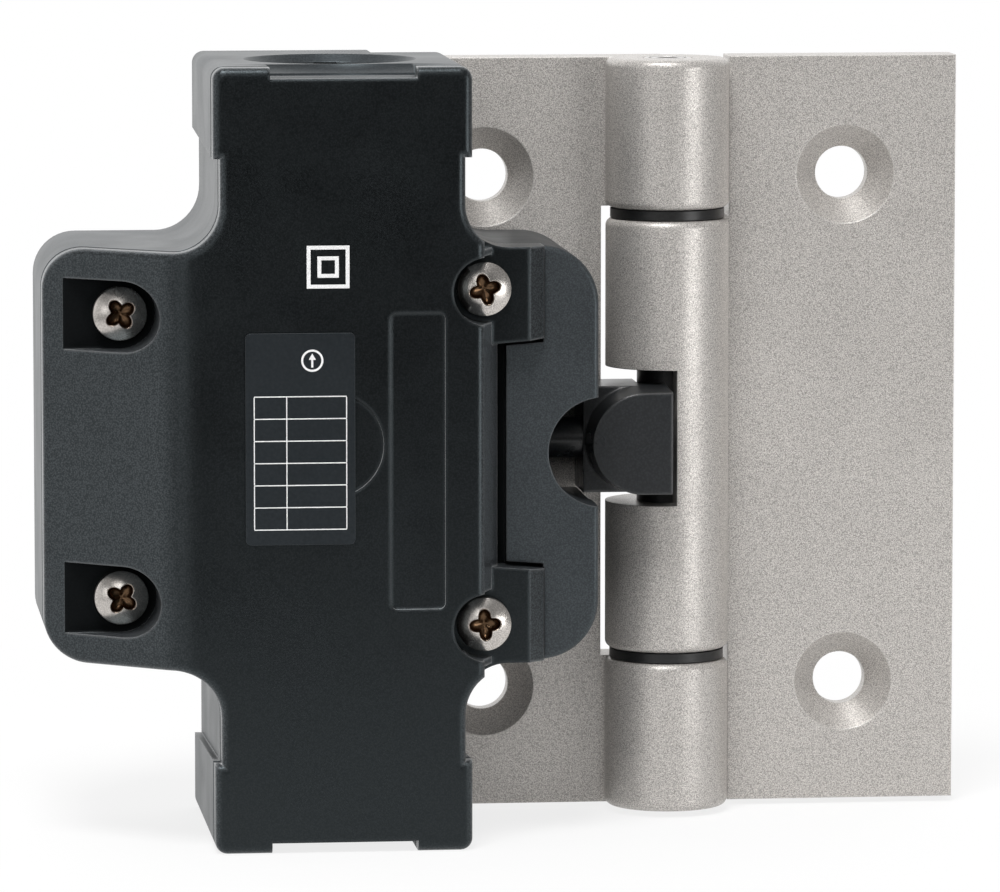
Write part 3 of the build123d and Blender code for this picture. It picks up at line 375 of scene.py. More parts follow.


# Each finish gives its dark and light grain tones, then the painted highlight along its edges, then its range
# of roughness.
FINISHES = (
    Finish("cast_zinc", Slot.ZINC, grey(0.28, 0.055), grey(0.75, 0.05), grey(0.92, 0.03),
           (0.38, 0.46), metallic=0.45, grain_scale=7800.0, speck_share=0.3,
           bump_mm=0.02, edge_radius_mm=0.25, edge_gain=2.0),
    Finish("pin_steel", Slot.PIN, grey(0.50, 0.03), grey(0.60, 0.03), grey(0.72, 0.02),
           (0.28, 0.36), metallic=0.9, grain_scale=6000.0, speck_share=0.2, bump_strength=0.3,
           edge_radius_mm=0.12),
    Finish("black_nylon", Slot.NYLON, grey(0.004), grey(0.009), grey(0.05),
           (0.38, 0.45), grain_scale=3000.0),
    # Grain with painted shade on faces that look straight ahead and a painted highlight on steep faces and
    # the rim.
    CoverFinish("cover_texture", Slot.HOUSING, grey(0.004, -0.08), grey(0.045, -0.08), grey(0.22, -0.02),
                (0.28, 0.34), speck_share=0.4, bump_mm=0.014, edge_radius_mm=0.6, edge_gain=2.0,
                specular=0.45, tint=BLUE_SHEEN),
    # Near-black painted shade for the floors of pockets and grooves.
    Finish("cover_shade", Slot.HOUSING, grey(0.0004), grey(0.002), grey(0.03, -0.02),
           (0.55, 0.65), speck_share=0.4, bump_strength=0.4, edge_radius_mm=0.5, edge_gain=1.2,
           specular=0.12, tint=BLUE_SHEEN),
    Finish("base_plastic", Slot.HOUSING, grey(0.018, -0.09), grey(0.046, -0.09), grey(0.14, -0.02),
           (0.36, 0.44), speck_share=0.4, bump_mm=0.012, edge_radius_mm=0.3, edge_gain=2.2,
           tint=BLUE_SHEEN, seam=True, only=("housing_base", "entry_thread")),
    Finish("plunger_plastic", Slot.PLUNGER, grey(0.016, -0.09), grey(0.025, -0.09), grey(0.10),
           (0.26, 0.32), grain_scale=3500.0, bump_mm=0.006, bump_strength=0.3,
           edge_radius_mm=0.5, edge_gain=1.8),
    Finish("seal_rubber", Slot.RUBBER, grey(0.008), grey(0.014), grey(0.03),
           (0.6, 0.72), grain_scale=2600.0, bump_mm=0.02, edge_radius_mm=0.15),
    Finish("label_film", Slot.LABEL, grey(0.014, -0.14), grey(0.020, -0.14), grey(0.07, -0.05),
           (0.28, 0.34), grain_scale=2400.0, speck_share=0.2, bump_mm=0.004,
           bump_strength=0.3, edge_radius_mm=0.08, specular=0.35, tint=BLUE_SHEEN),
    Finish("block_plastic", Slot.BLOCK, grey(0.20, 0.10), grey(0.26, 0.10), grey(0.34, 0.08),
           (0.45, 0.55), grain_scale=3000.0, edge_radius_mm=0.15),
    Finish("contact_brass", Slot.BRASS, (0.50, 0.33, 0.13), (0.62, 0.42, 0.18), (0.75, 0.55, 0.28),
           (0.25, 0.36), metallic=1.0, bump_mm=0.008),
    Finish("clamp_steel", Slot.CLAMP, grey(0.40, 0.02), grey(0.52, 0.02), grey(0.65, 0.02),
           (0.32, 0.42), metallic=1.0, grain_scale=5200.0),
    Finish("white_ink", Slot.LABEL, grey(0.72), grey(0.86), grey(0.86),
           (0.45, 0.55), grain_scale=7000.0, bump_mm=0.004, edge_radius_mm=0.02,
           only=("face_print",)),
    ScrewFinish("screw_nickel", Slot.SCREW, grey(0.40, 0.06), grey(0.62, 0.06), grey(0.85, 0.04),
                (0.22, 0.32), metallic=1.0, grain_scale=6500.0, speck_share=0.3, bump_strength=0.4,
                edge_radius_mm=0.12),
)


class FinishShelf:
    """Every finish's material, by slot."""

    def __init__(self) -> None:
        """Builds the shared groups and the materials."""
        shared = SharedEffects()
        self.by_slot: dict[Slot, bpy.types.Material] = {}
        self.by_piece: dict[str, bpy.types.Material] = {}
        self.by_name: dict[str, bpy.types.Material] = {}
        for finish in FINISHES:
            material = finish.build(shared)
            self.by_name[finish.name] = material
            if finish.only:
                self.by_piece.update(dict.fromkeys(finish.only, material))
            else:
                self.by_slot.setdefault(finish.slot, material)

    def pick(self, name: str, slot: Slot) -> bpy.types.Material:
        """Picks the material of a piece or node by its name, or else by its slot."""
        return self.by_piece.get(name, self.by_slot[slot])

    def dress_nodes(self, nodes: dict[str, Piece]) -> None:
        """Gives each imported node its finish, by the slot that its packed material names.

        Args:
            nodes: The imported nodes' objects by name.
        """
        for name, piece in nodes.items():
            slot = Slot(piece.data.materials[0].name.split(".")[0])
            material = self.pick(name, slot)
            piece.data.materials.clear()
            piece.data.materials.append(material)
            log.info("node %s wears %s", name, material.name)


@dataclass
class PaintedFloorShade:
    """Paints near-black shade onto the level floors of the housing's pockets and grooves, in millimetres."""

    pocket_depth: float = 25.6
    wing_depth: float = 28.3
    flat: float = 0.99

    def dress(self, shells: dict[str, Piece], shelf: FinishShelf) -> None:
        """Paints near-black shade onto the level floors of the cover's pockets and of the base's grooves.

        Args:
            shells: The cover and the housing, by the node that each shows.
            shelf: The finishes.
        """
        for name, floor_depth in (("front_cover", self.pocket_depth), ("housing_base", self.wing_depth)):
            mesh = shells[name].data
            mesh.materials.append(shelf.by_name["cover_shade"])
            for face in mesh.polygons:
                level = face.normal.y < -self.flat
                face.material_index = int(level and -face.center.y / MM < floor_depth)


def new_object(name: str, content: bpy.types.ID) -> Piece:
    """Links a mesh, a lamp or a camera to the scene as an object at the origin.

    Args:
        name: The object's name.
        content: What the object shows; a mesh is already in place.

    Returns:
        The object.
    """
    piece = bpy.data.objects.new(name, content)
    bpy.context.scene.collection.objects.link(piece)
    return piece


def plain_mesh(name: str, shape: bmesh.types.BMesh) -> bpy.types.Mesh:
    """Keeps a mesh under way as a plain one.

    Args:
        name: The plain mesh's name.
        shape: The mesh under way, which is freed.

    Returns:
        The plain mesh.
    """
    mesh = bpy.data.meshes.new(name)
    shape.to_mesh(mesh)
    shape.free()
    return mesh


def around(count: int) -> list[tuple[int, int]]:
    """Pairs each place on a ring with the next one."""
    return [(index, (index + 1) % count) for index in range(count)]


def add_prism(shape: bmesh.types.BMesh, levels: list[tuple[float, Outline]], side: int = 1) -> None:
    """Adds the closed solid between two outlines with the same number of corners.

    Args:
        shape: The mesh under way.
        levels: Each depth in millimetres with its outline.
        side: 1 as given and -1 upside down.
    """
    rings = [[shape.verts.new((x * MM, -depth * MM, side * z * MM)) for x, z in outline]
             for depth, outline in levels]
    shape.faces.new(rings[0])
    shape.faces.new(list(reversed(rings[1])))
    for index, after in around(len(rings[0])):
        shape.faces.new((rings[0][index], rings[1][index], rings[1][after], rings[0][after]))


def settle(piece: Piece, body: Body, slot: Slot, *nodes: str) -> None:
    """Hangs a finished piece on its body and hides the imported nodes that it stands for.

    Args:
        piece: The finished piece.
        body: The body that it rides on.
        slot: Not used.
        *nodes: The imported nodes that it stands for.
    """
    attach(piece, body.value)
    if nodes:
        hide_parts(*nodes)
    log.info("piece %s: %d faces on %s", piece.name, len(piece.data.polygons), body.value)


class GrownTree:
    """A Geometry Nodes tree with named inputs that ends in one plain mesh."""

    def __init__(self, name: str, sockets: dict[str, tuple[str, object]]) -> None:
        """Starts the tree.

        Args:
            name: The tree's name.
            sockets: Socket type and value by input name.
        """
        self.tree = bpy.data.node_groups.new(name, "GeometryNodeTree")
        self.board = NodeBoard(self.tree)
        self.values = {label: value for label, (_, value) in sockets.items()}
        self.tree.interface.new_socket("Geometry", in_out="INPUT", socket_type="NodeSocketGeometry")
        for label, (kind, _) in sockets.items():
            self.tree.interface.new_socket(label, in_out="INPUT", socket_type=kind)
        self.tree.interface.new_socket("Geometry", in_out="OUTPUT", socket_type="NodeSocketGeometry")
        self.given = self.board.add("NodeGroupInput").outputs

    def finish(self, shape: Socket, material: bpy.types.Material) -> None:
        """Ends the tree in real geometry with its material.

        Args:
            shape: The geometry so far.
            material: The material that it wears.
        """
        real = self.board.add("GeometryNodeRealizeInstances", {"Geometry": shape})
        worn = self.board.add("GeometryNodeSetMaterial", {
            "Geometry": real.outputs["Geometry"], "Material": material})
        self.board.add("NodeGroupOutput", {"Geometry": worn.outputs["Geometry"]})

    def grow(self, name: str, seed_mesh: bpy.types.Mesh) -> Piece:
        """Runs the tree on a mesh and keeps the result as a plain piece.

        Args:
            name: The new piece's name.
            seed_mesh: The mesh that the tree starts from.

        Returns:
            The piece, with no modifier.
        """
        holder = new_object(name + "_seed", seed_mesh)
        modifier = holder.modifiers.new(name, "NODES")
        modifier.node_group = self.tree
        for item in self.tree.interface.items_tree:
            if item.in_out == "INPUT" and item.name in self.values:
                modifier[item.identifier] = self.values[item.name]
        evaluated = holder.evaluated_get(bpy.context.evaluated_depsgraph_get())
        mesh = bpy.data.meshes.new_from_object(evaluated)
        mesh.name = name
        bpy.data.objects.remove(holder)
        return new_object(name, mesh)


@dataclass(frozen=True)
class ScrewHead:
    """A pan-head screw's sizes in millimetres, and its mesh facing -Y from its seat."""

    MASK = "driver_recess"
    ON_DOME = -1.0

    radius: float = 3.2
    height: float = 2.2
    crown: float = 0.99
    shank_radius: float = 1.75
    shank_length: float = 11.9
    lobe_inner: float = 1.1
    lobe_reach: float = 0.8
    lobe_power: float = 0.62
    recess_depth: float = 1.5
    recess_rings: tuple[Pair, ...] = ((0.18, -0.25), (0.5, 0.0), (0.82, 0.12), (0.93, 0.75))
    recess_rim: float = 1.07
    recess_dish: float = 0.35
    rim_round: float = 0.12
    crown_steps: int = 7
    segments: int = 72

    def _dome(self, radius: float) -> float:
        """Gives the dome's height above the seat at a radius."""
        sphere = (self.radius**2 + self.crown**2) / (2 * self.crown)
        return self.height - sphere + math.sqrt(sphere**2 - radius**2)

    def _lobe(self, angle: float) -> float:
        """Gives the four-lobed recess's radius at an angle."""
        wave = 0.5 + 0.5 * math.cos(4 * angle)
        return self.lobe_inner + self.lobe_reach * wave**self.lobe_power

    def _rings(self) -> list[tuple[float, float, float, float]]:
        """Lists the rings from the recess's floor out over the dome and down to the shank's tip.

        Returns:
            Each ring's share of the lobes, plain radius, height above the seat (or ON_DOME) and mask.
        """
        low = self._dome(0.0) - self.recess_depth
        rings = [(share, 0.0, low + rise, 1.0) for share, rise in self.recess_rings]
        rings += [(1.0, 0.0, self.ON_DOME, 0.75), (self.recess_rim, 0.0, self.ON_DOME, 0.0)]
        crown_radius = self.radius - self.rim_round
        for step in range(1, self.crown_steps + 1):
            share = step / self.crown_steps
            rings.append((self.recess_rim * (1 - share), crown_radius * share, self.ON_DOME, 0.0))
        side = self.height - self.crown
        profile = ((self.radius - 0.03, side + 0.02), (self.radius, side - 0.1),
                   (self.radius, self.rim_round), (self.radius - 0.1, 0.0), (self.shank_radius, 0.0),
                   (self.shank_radius, 1.0 - self.shank_length), (0.4, -self.shank_length))
        return rings + [(0.0, radius, height, 0.0) for radius, height in profile]

    def mesh(self) -> bpy.types.Mesh:
        """Builds the closed mesh of one screw.

        Returns:
            The mesh, with the recess marked in an attribute.
        """
        points: list[Triple] = []
        masks: list[float] = []
        rings = self._rings()
        for lobe, plain, height, mask in rings:
            for index in range(self.segments):
                angle = 2 * math.pi * index / self.segments
                radius = lobe * self._lobe(angle) + plain
                rise = self._dome(radius) if height == self.ON_DOME else height
                points.append((radius * math.cos(angle) * MM, -rise * MM, radius * math.sin(angle) * MM))
                masks.append(mask)
        floor, tip = len(points), len(points) + 1
        floor_rise = self._dome(0.0) - self.recess_depth - self.recess_dish
        points += [(0.0, -floor_rise * MM, 0.0), (0.0, self.shank_length * MM, 0.0)]
        masks += [1.0, 0.0]
        count = self.segments
        faces: list[tuple[int, ...]] = []
        for ring in range(len(rings) - 1):
            low, high = ring * count, (ring + 1) * count
            for index, after in around(count):
                faces.append((low + index, high + index, high + after, low + after))
        last = (len(rings) - 1) * count
        for index, after in around(count):
            faces.append((floor, index, after))
            faces.append((tip, last + after, last + index))
        mesh = bpy.data.meshes.new("pan_screw")
        mesh.from_pydata(points, [], faces)
        attribute = mesh.attributes.new(self.MASK, "FLOAT", "POINT")
        attribute.data.foreach_set("value", masks)
        shape = bmesh.new()
        shape.from_mesh(mesh)
        bmesh.ops.recalc_face_normals(shape, faces=shape.faces)
        shape.to_mesh(mesh)
        shape.free()
        mesh.polygons.foreach_set("use_smooth", [True] * len(mesh.polygons))
        return mesh


@dataclass
class CoverScrews:
    """The four screws that hold the cover, set by Geometry Nodes on their seats, in millimetres."""

    left: Triple = (-45.2, 25.3, 16.8)
    right: Triple = (-2.8, 31.0, 19.8)
    turn_seed: int = 11

    def build(self, shelf: FinishShelf) -> None:
        """Builds the screws as one piece.

        Args:
            shelf: The finishes.
        """
        seats = bpy.data.meshes.new("screw_seats")
        places = [(x * MM, -depth * MM, side * z * MM)
                  for x, depth, z in (self.left, self.right) for side in (1, -1)]
        seats.from_pydata(places, [], [])
        sample = new_object("pan_screw_sample", ScrewHead().mesh())
        grown = GrownTree("cover_screw_set", {
            "Screw": ("NodeSocketObject", sample), "Turn Seed": ("NodeSocketInt", self.turn_seed),
            "Largest Turn": ("NodeSocketFloat", math.pi / 2)})
        board, given = grown.board, grown.given
        source = board.add("GeometryNodeObjectInfo", {"Object": given["Screw"]})
        chance = board.add("FunctionNodeRandomValue", {
            3: given["Largest Turn"], "Seed": given["Turn Seed"]}, data_type="FLOAT")
        turn = board.add("ShaderNodeCombineXYZ", {"Y": chance.outputs[1]})
        points = board.add("GeometryNodeMeshToPoints", {"Mesh": given["Geometry"]})
        placed = board.add("GeometryNodeInstanceOnPoints", {
            "Points": points.outputs["Points"], "Instance": source.outputs["Geometry"],
            "Rotation": turn.outputs["Vector"]})
        grown.finish(placed.outputs["Instances"], shelf.pick("cover_screw_set", Slot.SCREW))
        piece = grown.grow("cover_screw_set", seats)
        bpy.data.objects.remove(sample)
        settle(piece, Body.HOUSING, Slot.SCREW, "cover_screws_left", "cover_screws_right")


@dataclass
class ColumnEnds:
    """The rim of the housing's column beyond the wings, up to the cover's seam, in millimetres."""

    wing_depth: float = 28.5
    rim_depth: float = 33.7
    seam_depth: float = 33.8
    groove_floor: float = 32.8
    wing_z: float = 24.6
    end_z: float = 46.1
    block_x: Pair = (-34.85, -4.55)
    column_x: Pair = (-34.05, -5.35)
    corner_radius: float = 1.4
    waist_radius: float = 5.5
    waist_z: Pair = (30.0, 30.1)
    step_z: float = 35.5
    step_draft: float = 1.4
    notch_x: Pair = (-28.2, -11.0)
    notch_start: float = 28.6
    notch_reach: float = 1.3
    least_notch: float = 0.01
    chamber_x: Pair = (-31.2, -9.0)
    chamber_z: Pair = (33.5, -42.5)
    chamber_radius: float = 2.0
    groove_reach: Pair = (0.5, 1.6)
    groove_overrun: float = 1.0
    lug_corner: Pair = (-7.8, 25.7)
    arc_steps: int = 10
    sharp_angle: float = 32.0
    same_point: float = 0.002
    same_face: float = 0.98
    arc_slack: float = 0.002
    weld: float = 0.0002
    packed_rim: set[Pair] = field(default_factory=set)

    def _read_rim(self, node: Piece, side: int) -> None:
        """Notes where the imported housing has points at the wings' depth, on one side.

        Args:
            node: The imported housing.
            side: 1 for the upper end and -1 for the lower.
        """
        points = [vertex.co / MM for vertex in node.data.vertices]
        level = [point for point in points if abs(point.y + self.wing_depth) < self.same_point]
        self.packed_rim = {(round(point.x, 4), round(side * point.z, 4)) for point in level}

    def _arc(self, centre: Pair, radius: float, start: float, end: float) -> Outline:
        """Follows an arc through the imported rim's points, or in even steps where it has none.

        Args:
            centre: The arc's centre, across and along the hinge.
            radius: Its radius.
            start: Its first angle in radians.
            end: Its last angle in radians.

        Returns:
            The points.
        """
        middle, half = (start + end) / 2, abs(end - start) / 2
        found = []
        for across, along in self.packed_rim:
            angle = math.atan2(along - centre[1], across - centre[0])
            turn = (angle - middle + math.pi) % (2 * math.pi) - math.pi
            off = abs(math.hypot(across - centre[0], along - centre[1]) - radius)
            if off < self.same_point and abs(turn) < half + self.arc_slack:
                found.append((turn, (across, along)))
        if len(found) > 2:
            return [point for _, point in sorted(found, reverse=end < start)]
        shares = [step / self.arc_steps for step in range(self.arc_steps + 1)]
        angles = [start + (end - start) * share for share in shares]
        return [(centre[0] + radius * math.cos(a), centre[1] + radius * math.sin(a)) for a in angles]

    def _outside(self, depth: float) -> Outline:
        """Follows the upper end's outside from the left wing to the lug, at one depth.

        Args:
            depth: The depth of the outline.

        Returns:
            The points.
        """
        left, right = self.block_x
        waist_turn = math.acos((self.waist_radius - self.column_x[0] + left) / self.waist_radius)
        step = self.step_z + self.step_draft * (1 - depth / self.seam_depth)
        slope = (depth - self.notch_start) / (self.seam_depth - self.notch_start)
        notch = self.end_z - max(self.least_notch, self.notch_reach * slope)
        corner_z = self.end_z - self.corner_radius
        left_waist = (self.column_x[0] - self.waist_radius, self.waist_z[0])
        right_waist = (self.column_x[1] + self.waist_radius, self.waist_z[1])
        return [
            (left, self.wing_z),
            *self._arc(left_waist, self.waist_radius, -waist_turn, 0.0),
            (self.column_x[0], step), (left, step),
            *self._arc((left + self.corner_radius, corner_z), self.corner_radius, math.pi, math.pi / 2),
            (self.notch_x[0], self.end_z), (self.notch_x[0], notch),
            (self.notch_x[1], notch), (self.notch_x[1], self.end_z),
            *self._arc((right - self.corner_radius, corner_z), self.corner_radius, math.pi / 2, 0.0),
            (right, step), (self.column_x[1], step),
            *self._arc(right_waist, self.waist_radius, math.pi, math.pi + waist_turn),
            (right, self.lug_corner[1]), self.lug_corner, (self.lug_corner[0], self.wing_z)]

    def _inside(self, top: float, reach: float, low: float) -> Outline:
        """Follows the chamber's end from right to left.

        Args:
            top: The chamber's end along the hinge.
            reach: How far outside the chamber's wall the line runs.
            low: Where the line starts and ends along the hinge.

        Returns:
            The points.
        """
        left, right = self.chamber_x
        centre_z = top - self.chamber_radius
        radius = self.chamber_radius + reach
        return [
            (right + reach, low),
            *self._arc((right - self.chamber_radius, centre_z), radius, 0.0, math.pi / 2),
            *self._arc((left + self.chamber_radius, centre_z), radius, math.pi / 2, math.pi),
            (left - reach, low)]

    @staticmethod
    def _loft(name: str, side: int, levels: list[tuple[float, Outline]]) -> Piece:
        """Joins two outlines at two depths into a closed solid.

        Args:
            name: The object's name.
            side: 1 for the upper end and -1 for the lower.
            levels: Each depth with its outline.

        Returns:
            The solid's object.
        """
        shape = bmesh.new()
        add_prism(shape, levels, side)
        bmesh.ops.recalc_face_normals(shape, faces=shape.faces)
        return new_object(name, plain_mesh(name, shape))

    @staticmethod
    def _merge(target: Piece, tool: Piece, operation: str) -> None:
        """Joins a tool solid to a target, or cuts it away.

        Args:
            target: The object whose mesh changes.
            tool: The solid that is used up.
            operation: UNION or DIFFERENCE.
        """
        cut = target.modifiers.new("cut", "BOOLEAN")
        cut.solver = "EXACT"
        cut.operation = operation
        cut.object = tool
        graph = bpy.context.evaluated_depsgraph_get()
        graph.update()
        result = bpy.data.meshes.new_from_object(target.evaluated_get(graph))
        target.modifiers.clear()
        target.data = result
        bpy.data.objects.remove(tool)

    def _shade(self, piece: Piece, node: Piece) -> None:
        """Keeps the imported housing's own shading, and shades the new rim by its edges' angle.

        Args:
            piece: The housing with its rim.
            node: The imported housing.
        """
        packed = node.data
        corners = KDTree(len(packed.loops))
        faces = {}
        for face in packed.polygons:
            for corner in face.loop_indices:
                corners.insert(packed.vertices[packed.loops[corner].vertex_index].co, corner)
                faces[corner] = face.normal.copy()
        corners.balance()
        mesh = piece.data
        mesh.shade_smooth()
        mesh.set_sharp_from_angle(angle=math.radians(self.sharp_angle))
        normals = [corner.vector.copy() for corner in mesh.corner_normals]
        for face in mesh.polygons:
            for corner in face.loop_indices:
                point = mesh.vertices[mesh.loops[corner].vertex_index].co
                near = [index for _, index, _ in corners.find_range(point, self.same_point * MM)]
                match = max(near, key=lambda index: faces[index].dot(face.normal), default=None)
                if match is not None and faces[match].dot(face.normal) > self.same_face:
                    normals[corner] = packed.corner_normals[match].vector.copy()
        mesh.normals_split_custom_set(normals)

    def build(self, node: Piece) -> Piece:
        """Raises the rim at both ends of a copy of the housing.

        Args:
            node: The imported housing.

        Returns:
            The housing with its whole rim.
        """
        shape = bmesh.new()
        shape.from_mesh(node.data)
        bmesh.ops.remove_doubles(shape, verts=shape.verts, dist=self.weld * MM)
        mesh = plain_mesh("housing_shell", shape)
        mesh.materials.append(node.data.materials[0])
        piece = new_object("housing_shell", mesh)
        for side, chamber_end in zip((1, -1), self.chamber_z):
            top = abs(chamber_end)
            self._read_rim(node, side)
            inside = self._inside(top, 0.0, self.wing_z)
            levels = [(depth, self._outside(depth) + inside) for depth in (self.wing_depth, self.rim_depth)]
            rim = self._loft("rim", side, levels)
            start = self.wing_z - self.groove_overrun
            line = self._inside(top, self.groove_reach[1], start)
            line += list(reversed(self._inside(top, self.groove_reach[0], start)))
            groove = self._loft("groove", side, [(self.groove_floor, line), (self.seam_depth, line)])
            self._merge(rim, groove, "DIFFERENCE")
            self._merge(piece, rim, "UNION")
        self._shade(piece, node)
        settle(piece, Body.HOUSING, Slot.HOUSING, "housing_base")
        return piece


@dataclass
class ReturnSpring:
    """The spring between the chamber's wall and the contact carrier, in millimetres."""

    wall_x: float = -31.2
    carrier_x: float = -18.5
    travel: float = 9.0

    def build(self, node: Piece) -> None:
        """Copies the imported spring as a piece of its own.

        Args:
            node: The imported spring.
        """
        piece = new_object("spring_coil", node.data.copy())
        settle(piece, Body.HOUSING, Slot.SCREW, "return_spring")
        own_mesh(piece)


@dataclass
class CableEntry:
    """The thread in the cable entry at the top of the housing, in millimetres."""

    centre: Pair = (-19.7, 18.0)
    bore_radius: float = 9.35
    pitch: float = 1.5
    turns: float = 6.6
    start_z: float = 34.4
    ridge: float = 0.42

    def build(self, shelf: FinishShelf) -> None:
        """Grows the thread's ridge along a helix.

        Args:
            shelf: The finishes.
        """
        grown = GrownTree("entry_thread", {
            "Bore Radius": ("NodeSocketFloat", self.bore_radius * MM),
            "Pitch Height": ("NodeSocketFloat", self.pitch * self.turns * MM),
            "Turns": ("NodeSocketFloat", self.turns),
            "Ridge": ("NodeSocketFloat", self.ridge * MM),
            "Start": ("NodeSocketVector", (self.centre[0] * MM, -self.centre[1] * MM, self.start_z * MM))})
        board, given = grown.board, grown.given
        helix = board.add("GeometryNodeCurveSpiral", {
            "Resolution": 72, "Rotations": given["Turns"], "Start Radius": given["Bore Radius"],
            "End Radius": given["Bore Radius"], "Height": given["Pitch Height"]})
        ridge = board.add("GeometryNodeCurvePrimitiveCircle", {"Resolution": 6, "Radius": given["Ridge"]})
        swept = board.add("GeometryNodeCurveToMesh", {
            "Curve": helix.outputs["Curve"], "Profile Curve": ridge.outputs["Curve"], "Fill Caps": True})
        placed = board.add("GeometryNodeTransform", {
            "Geometry": swept.outputs["Mesh"], "Translation": given["Start"]})
        grown.finish(placed.outputs["Geometry"], shelf.pick("entry_thread", Slot.HOUSING))
        piece = grown.grow("entry_thread", bpy.data.meshes.new("entry_seed"))
        settle(piece, Body.HOUSING, Slot.HOUSING)


@dataclass
class FacePrint:
    """A square in a square on the cover, a ringed arrow and an empty form on the label, in millimetres."""

    cover_depth: float = 36.0
    label_depth: float = 36.25
    film: float = 0.03
    square_centre: Pair = (-21.5, 22.9)
    square_sizes: Pair = (5.0, 2.5)
    square_line: float = 0.45
    ring_centre: Pair = (-23.4, 12.0)
    ring_radius: float = 1.3
    ring_line: float = 0.24
    ring_steps: int = 48
    arrow_span: Triple = (-0.8, 0.1, 0.85)
    arrow_half: float = 0.42
    form_x: Pair = (-30.2, -19.4)
    form_rows: tuple[float, ...] = (7.8, 5.2, 2.6, 0.0, -2.6, -5.2, -7.8)
    form_line: float = 0.12
    form_column: float = -26.4

    def _frame(self, shape: bmesh.types.BMesh, centre: Pair, corners: Outline,
               reaches: Pair, depth: float) -> None:
        """Adds a flat frame between two outlines of one form.

        Args:
            shape: The mesh under way.
            centre: The frame's middle.
            corners: The form's corners around zero, at a reach of one.
            reaches: The outer outline's reach and the inner one's.
            depth: The depth of the surface that it lies on.
        """
        levels = [[[shape.verts.new(((centre[0] + x * reach) * MM, -(depth + lift) * MM,
                                     (centre[1] + z * reach) * MM)) for x, z in corners]
                   for reach in reaches] for lift in (0.0, self.film)]
        (low_out, low_in), (top_out, top_in) = levels
        for index, after in around(len(corners)):
            for first, second in ((low_out, top_out), (top_out, top_in), (top_in, low_in), (low_in, low_out)):
                shape.faces.new((first[index], first[after], second[after], second[index]))

    def _patch(self, shape: bmesh.types.BMesh, corners: Outline) -> None:
        """Adds a flat filled shape on the label, from its corners in order."""
        add_prism(shape, [(depth, corners) for depth in (self.label_depth, self.label_depth + self.film)])

    def _bar(self, shape: bmesh.types.BMesh, left: float, low: float, right: float, high: float) -> None:
        """Adds a flat upright or level bar on the label, from its four sides."""
        self._patch(shape, [(left, low), (right, low), (right, high), (left, high)])

    def _form(self, shape: bmesh.types.BMesh) -> None:
        """Rules the label into blank rows and two columns.

        Args:
            shape: The mesh under way.
        """
        left, right = self.form_x
        half = self.form_line / 2
        for z in self.form_rows:
            self._bar(shape, left, z - half, right, z + half)
        for x in (left, self.form_column, right):
            for high, low in zip(self.form_rows, self.form_rows[1:]):
                self._bar(shape, x - half, low + half, x + half, high - half)

    def build(self, shelf: FinishShelf) -> None:
        """Builds the signs and the blank form as one piece.

        Args:
            shelf: The finishes.
        """
        shape = bmesh.new()
        square = [(-1, -1), (1, -1), (1, 1), (-1, 1)]
        for size in self.square_sizes:
            reaches = (size / 2, size / 2 - self.square_line)
            self._frame(shape, self.square_centre, square, reaches, self.cover_depth)
        angles = [2 * math.pi * index / self.ring_steps for index in range(self.ring_steps)]
        circle = [(math.cos(angle), math.sin(angle)) for angle in angles]
        reaches = (self.ring_radius, self.ring_radius - self.ring_line)
        self._frame(shape, self.ring_centre, circle, reaches, self.label_depth)
        x, z = self.ring_centre
        half = self.ring_line / 2
        low, neck, tip = self.arrow_span
        self._bar(shape, x - half, z + low, x + half, z + neck)
        self._patch(shape, [(x - self.arrow_half, z + neck), (x + self.arrow_half, z + neck), (x, z + tip)])
        self._form(shape)
        bmesh.ops.recalc_face_normals(shape, faces=shape.faces)
        mesh = plain_mesh("face_print", shape)
        mesh.materials.append(shelf.pick("face_print", Slot.LABEL))
        piece = new_object("face_print", mesh)
        settle(piece, Body.HOUSING, Slot.LABEL)


@dataclass(frozen=True)
class Lamp:
    """A square soft lamp, in metres and watts."""

    name: str
    place: Triple
    size: float
    power: float


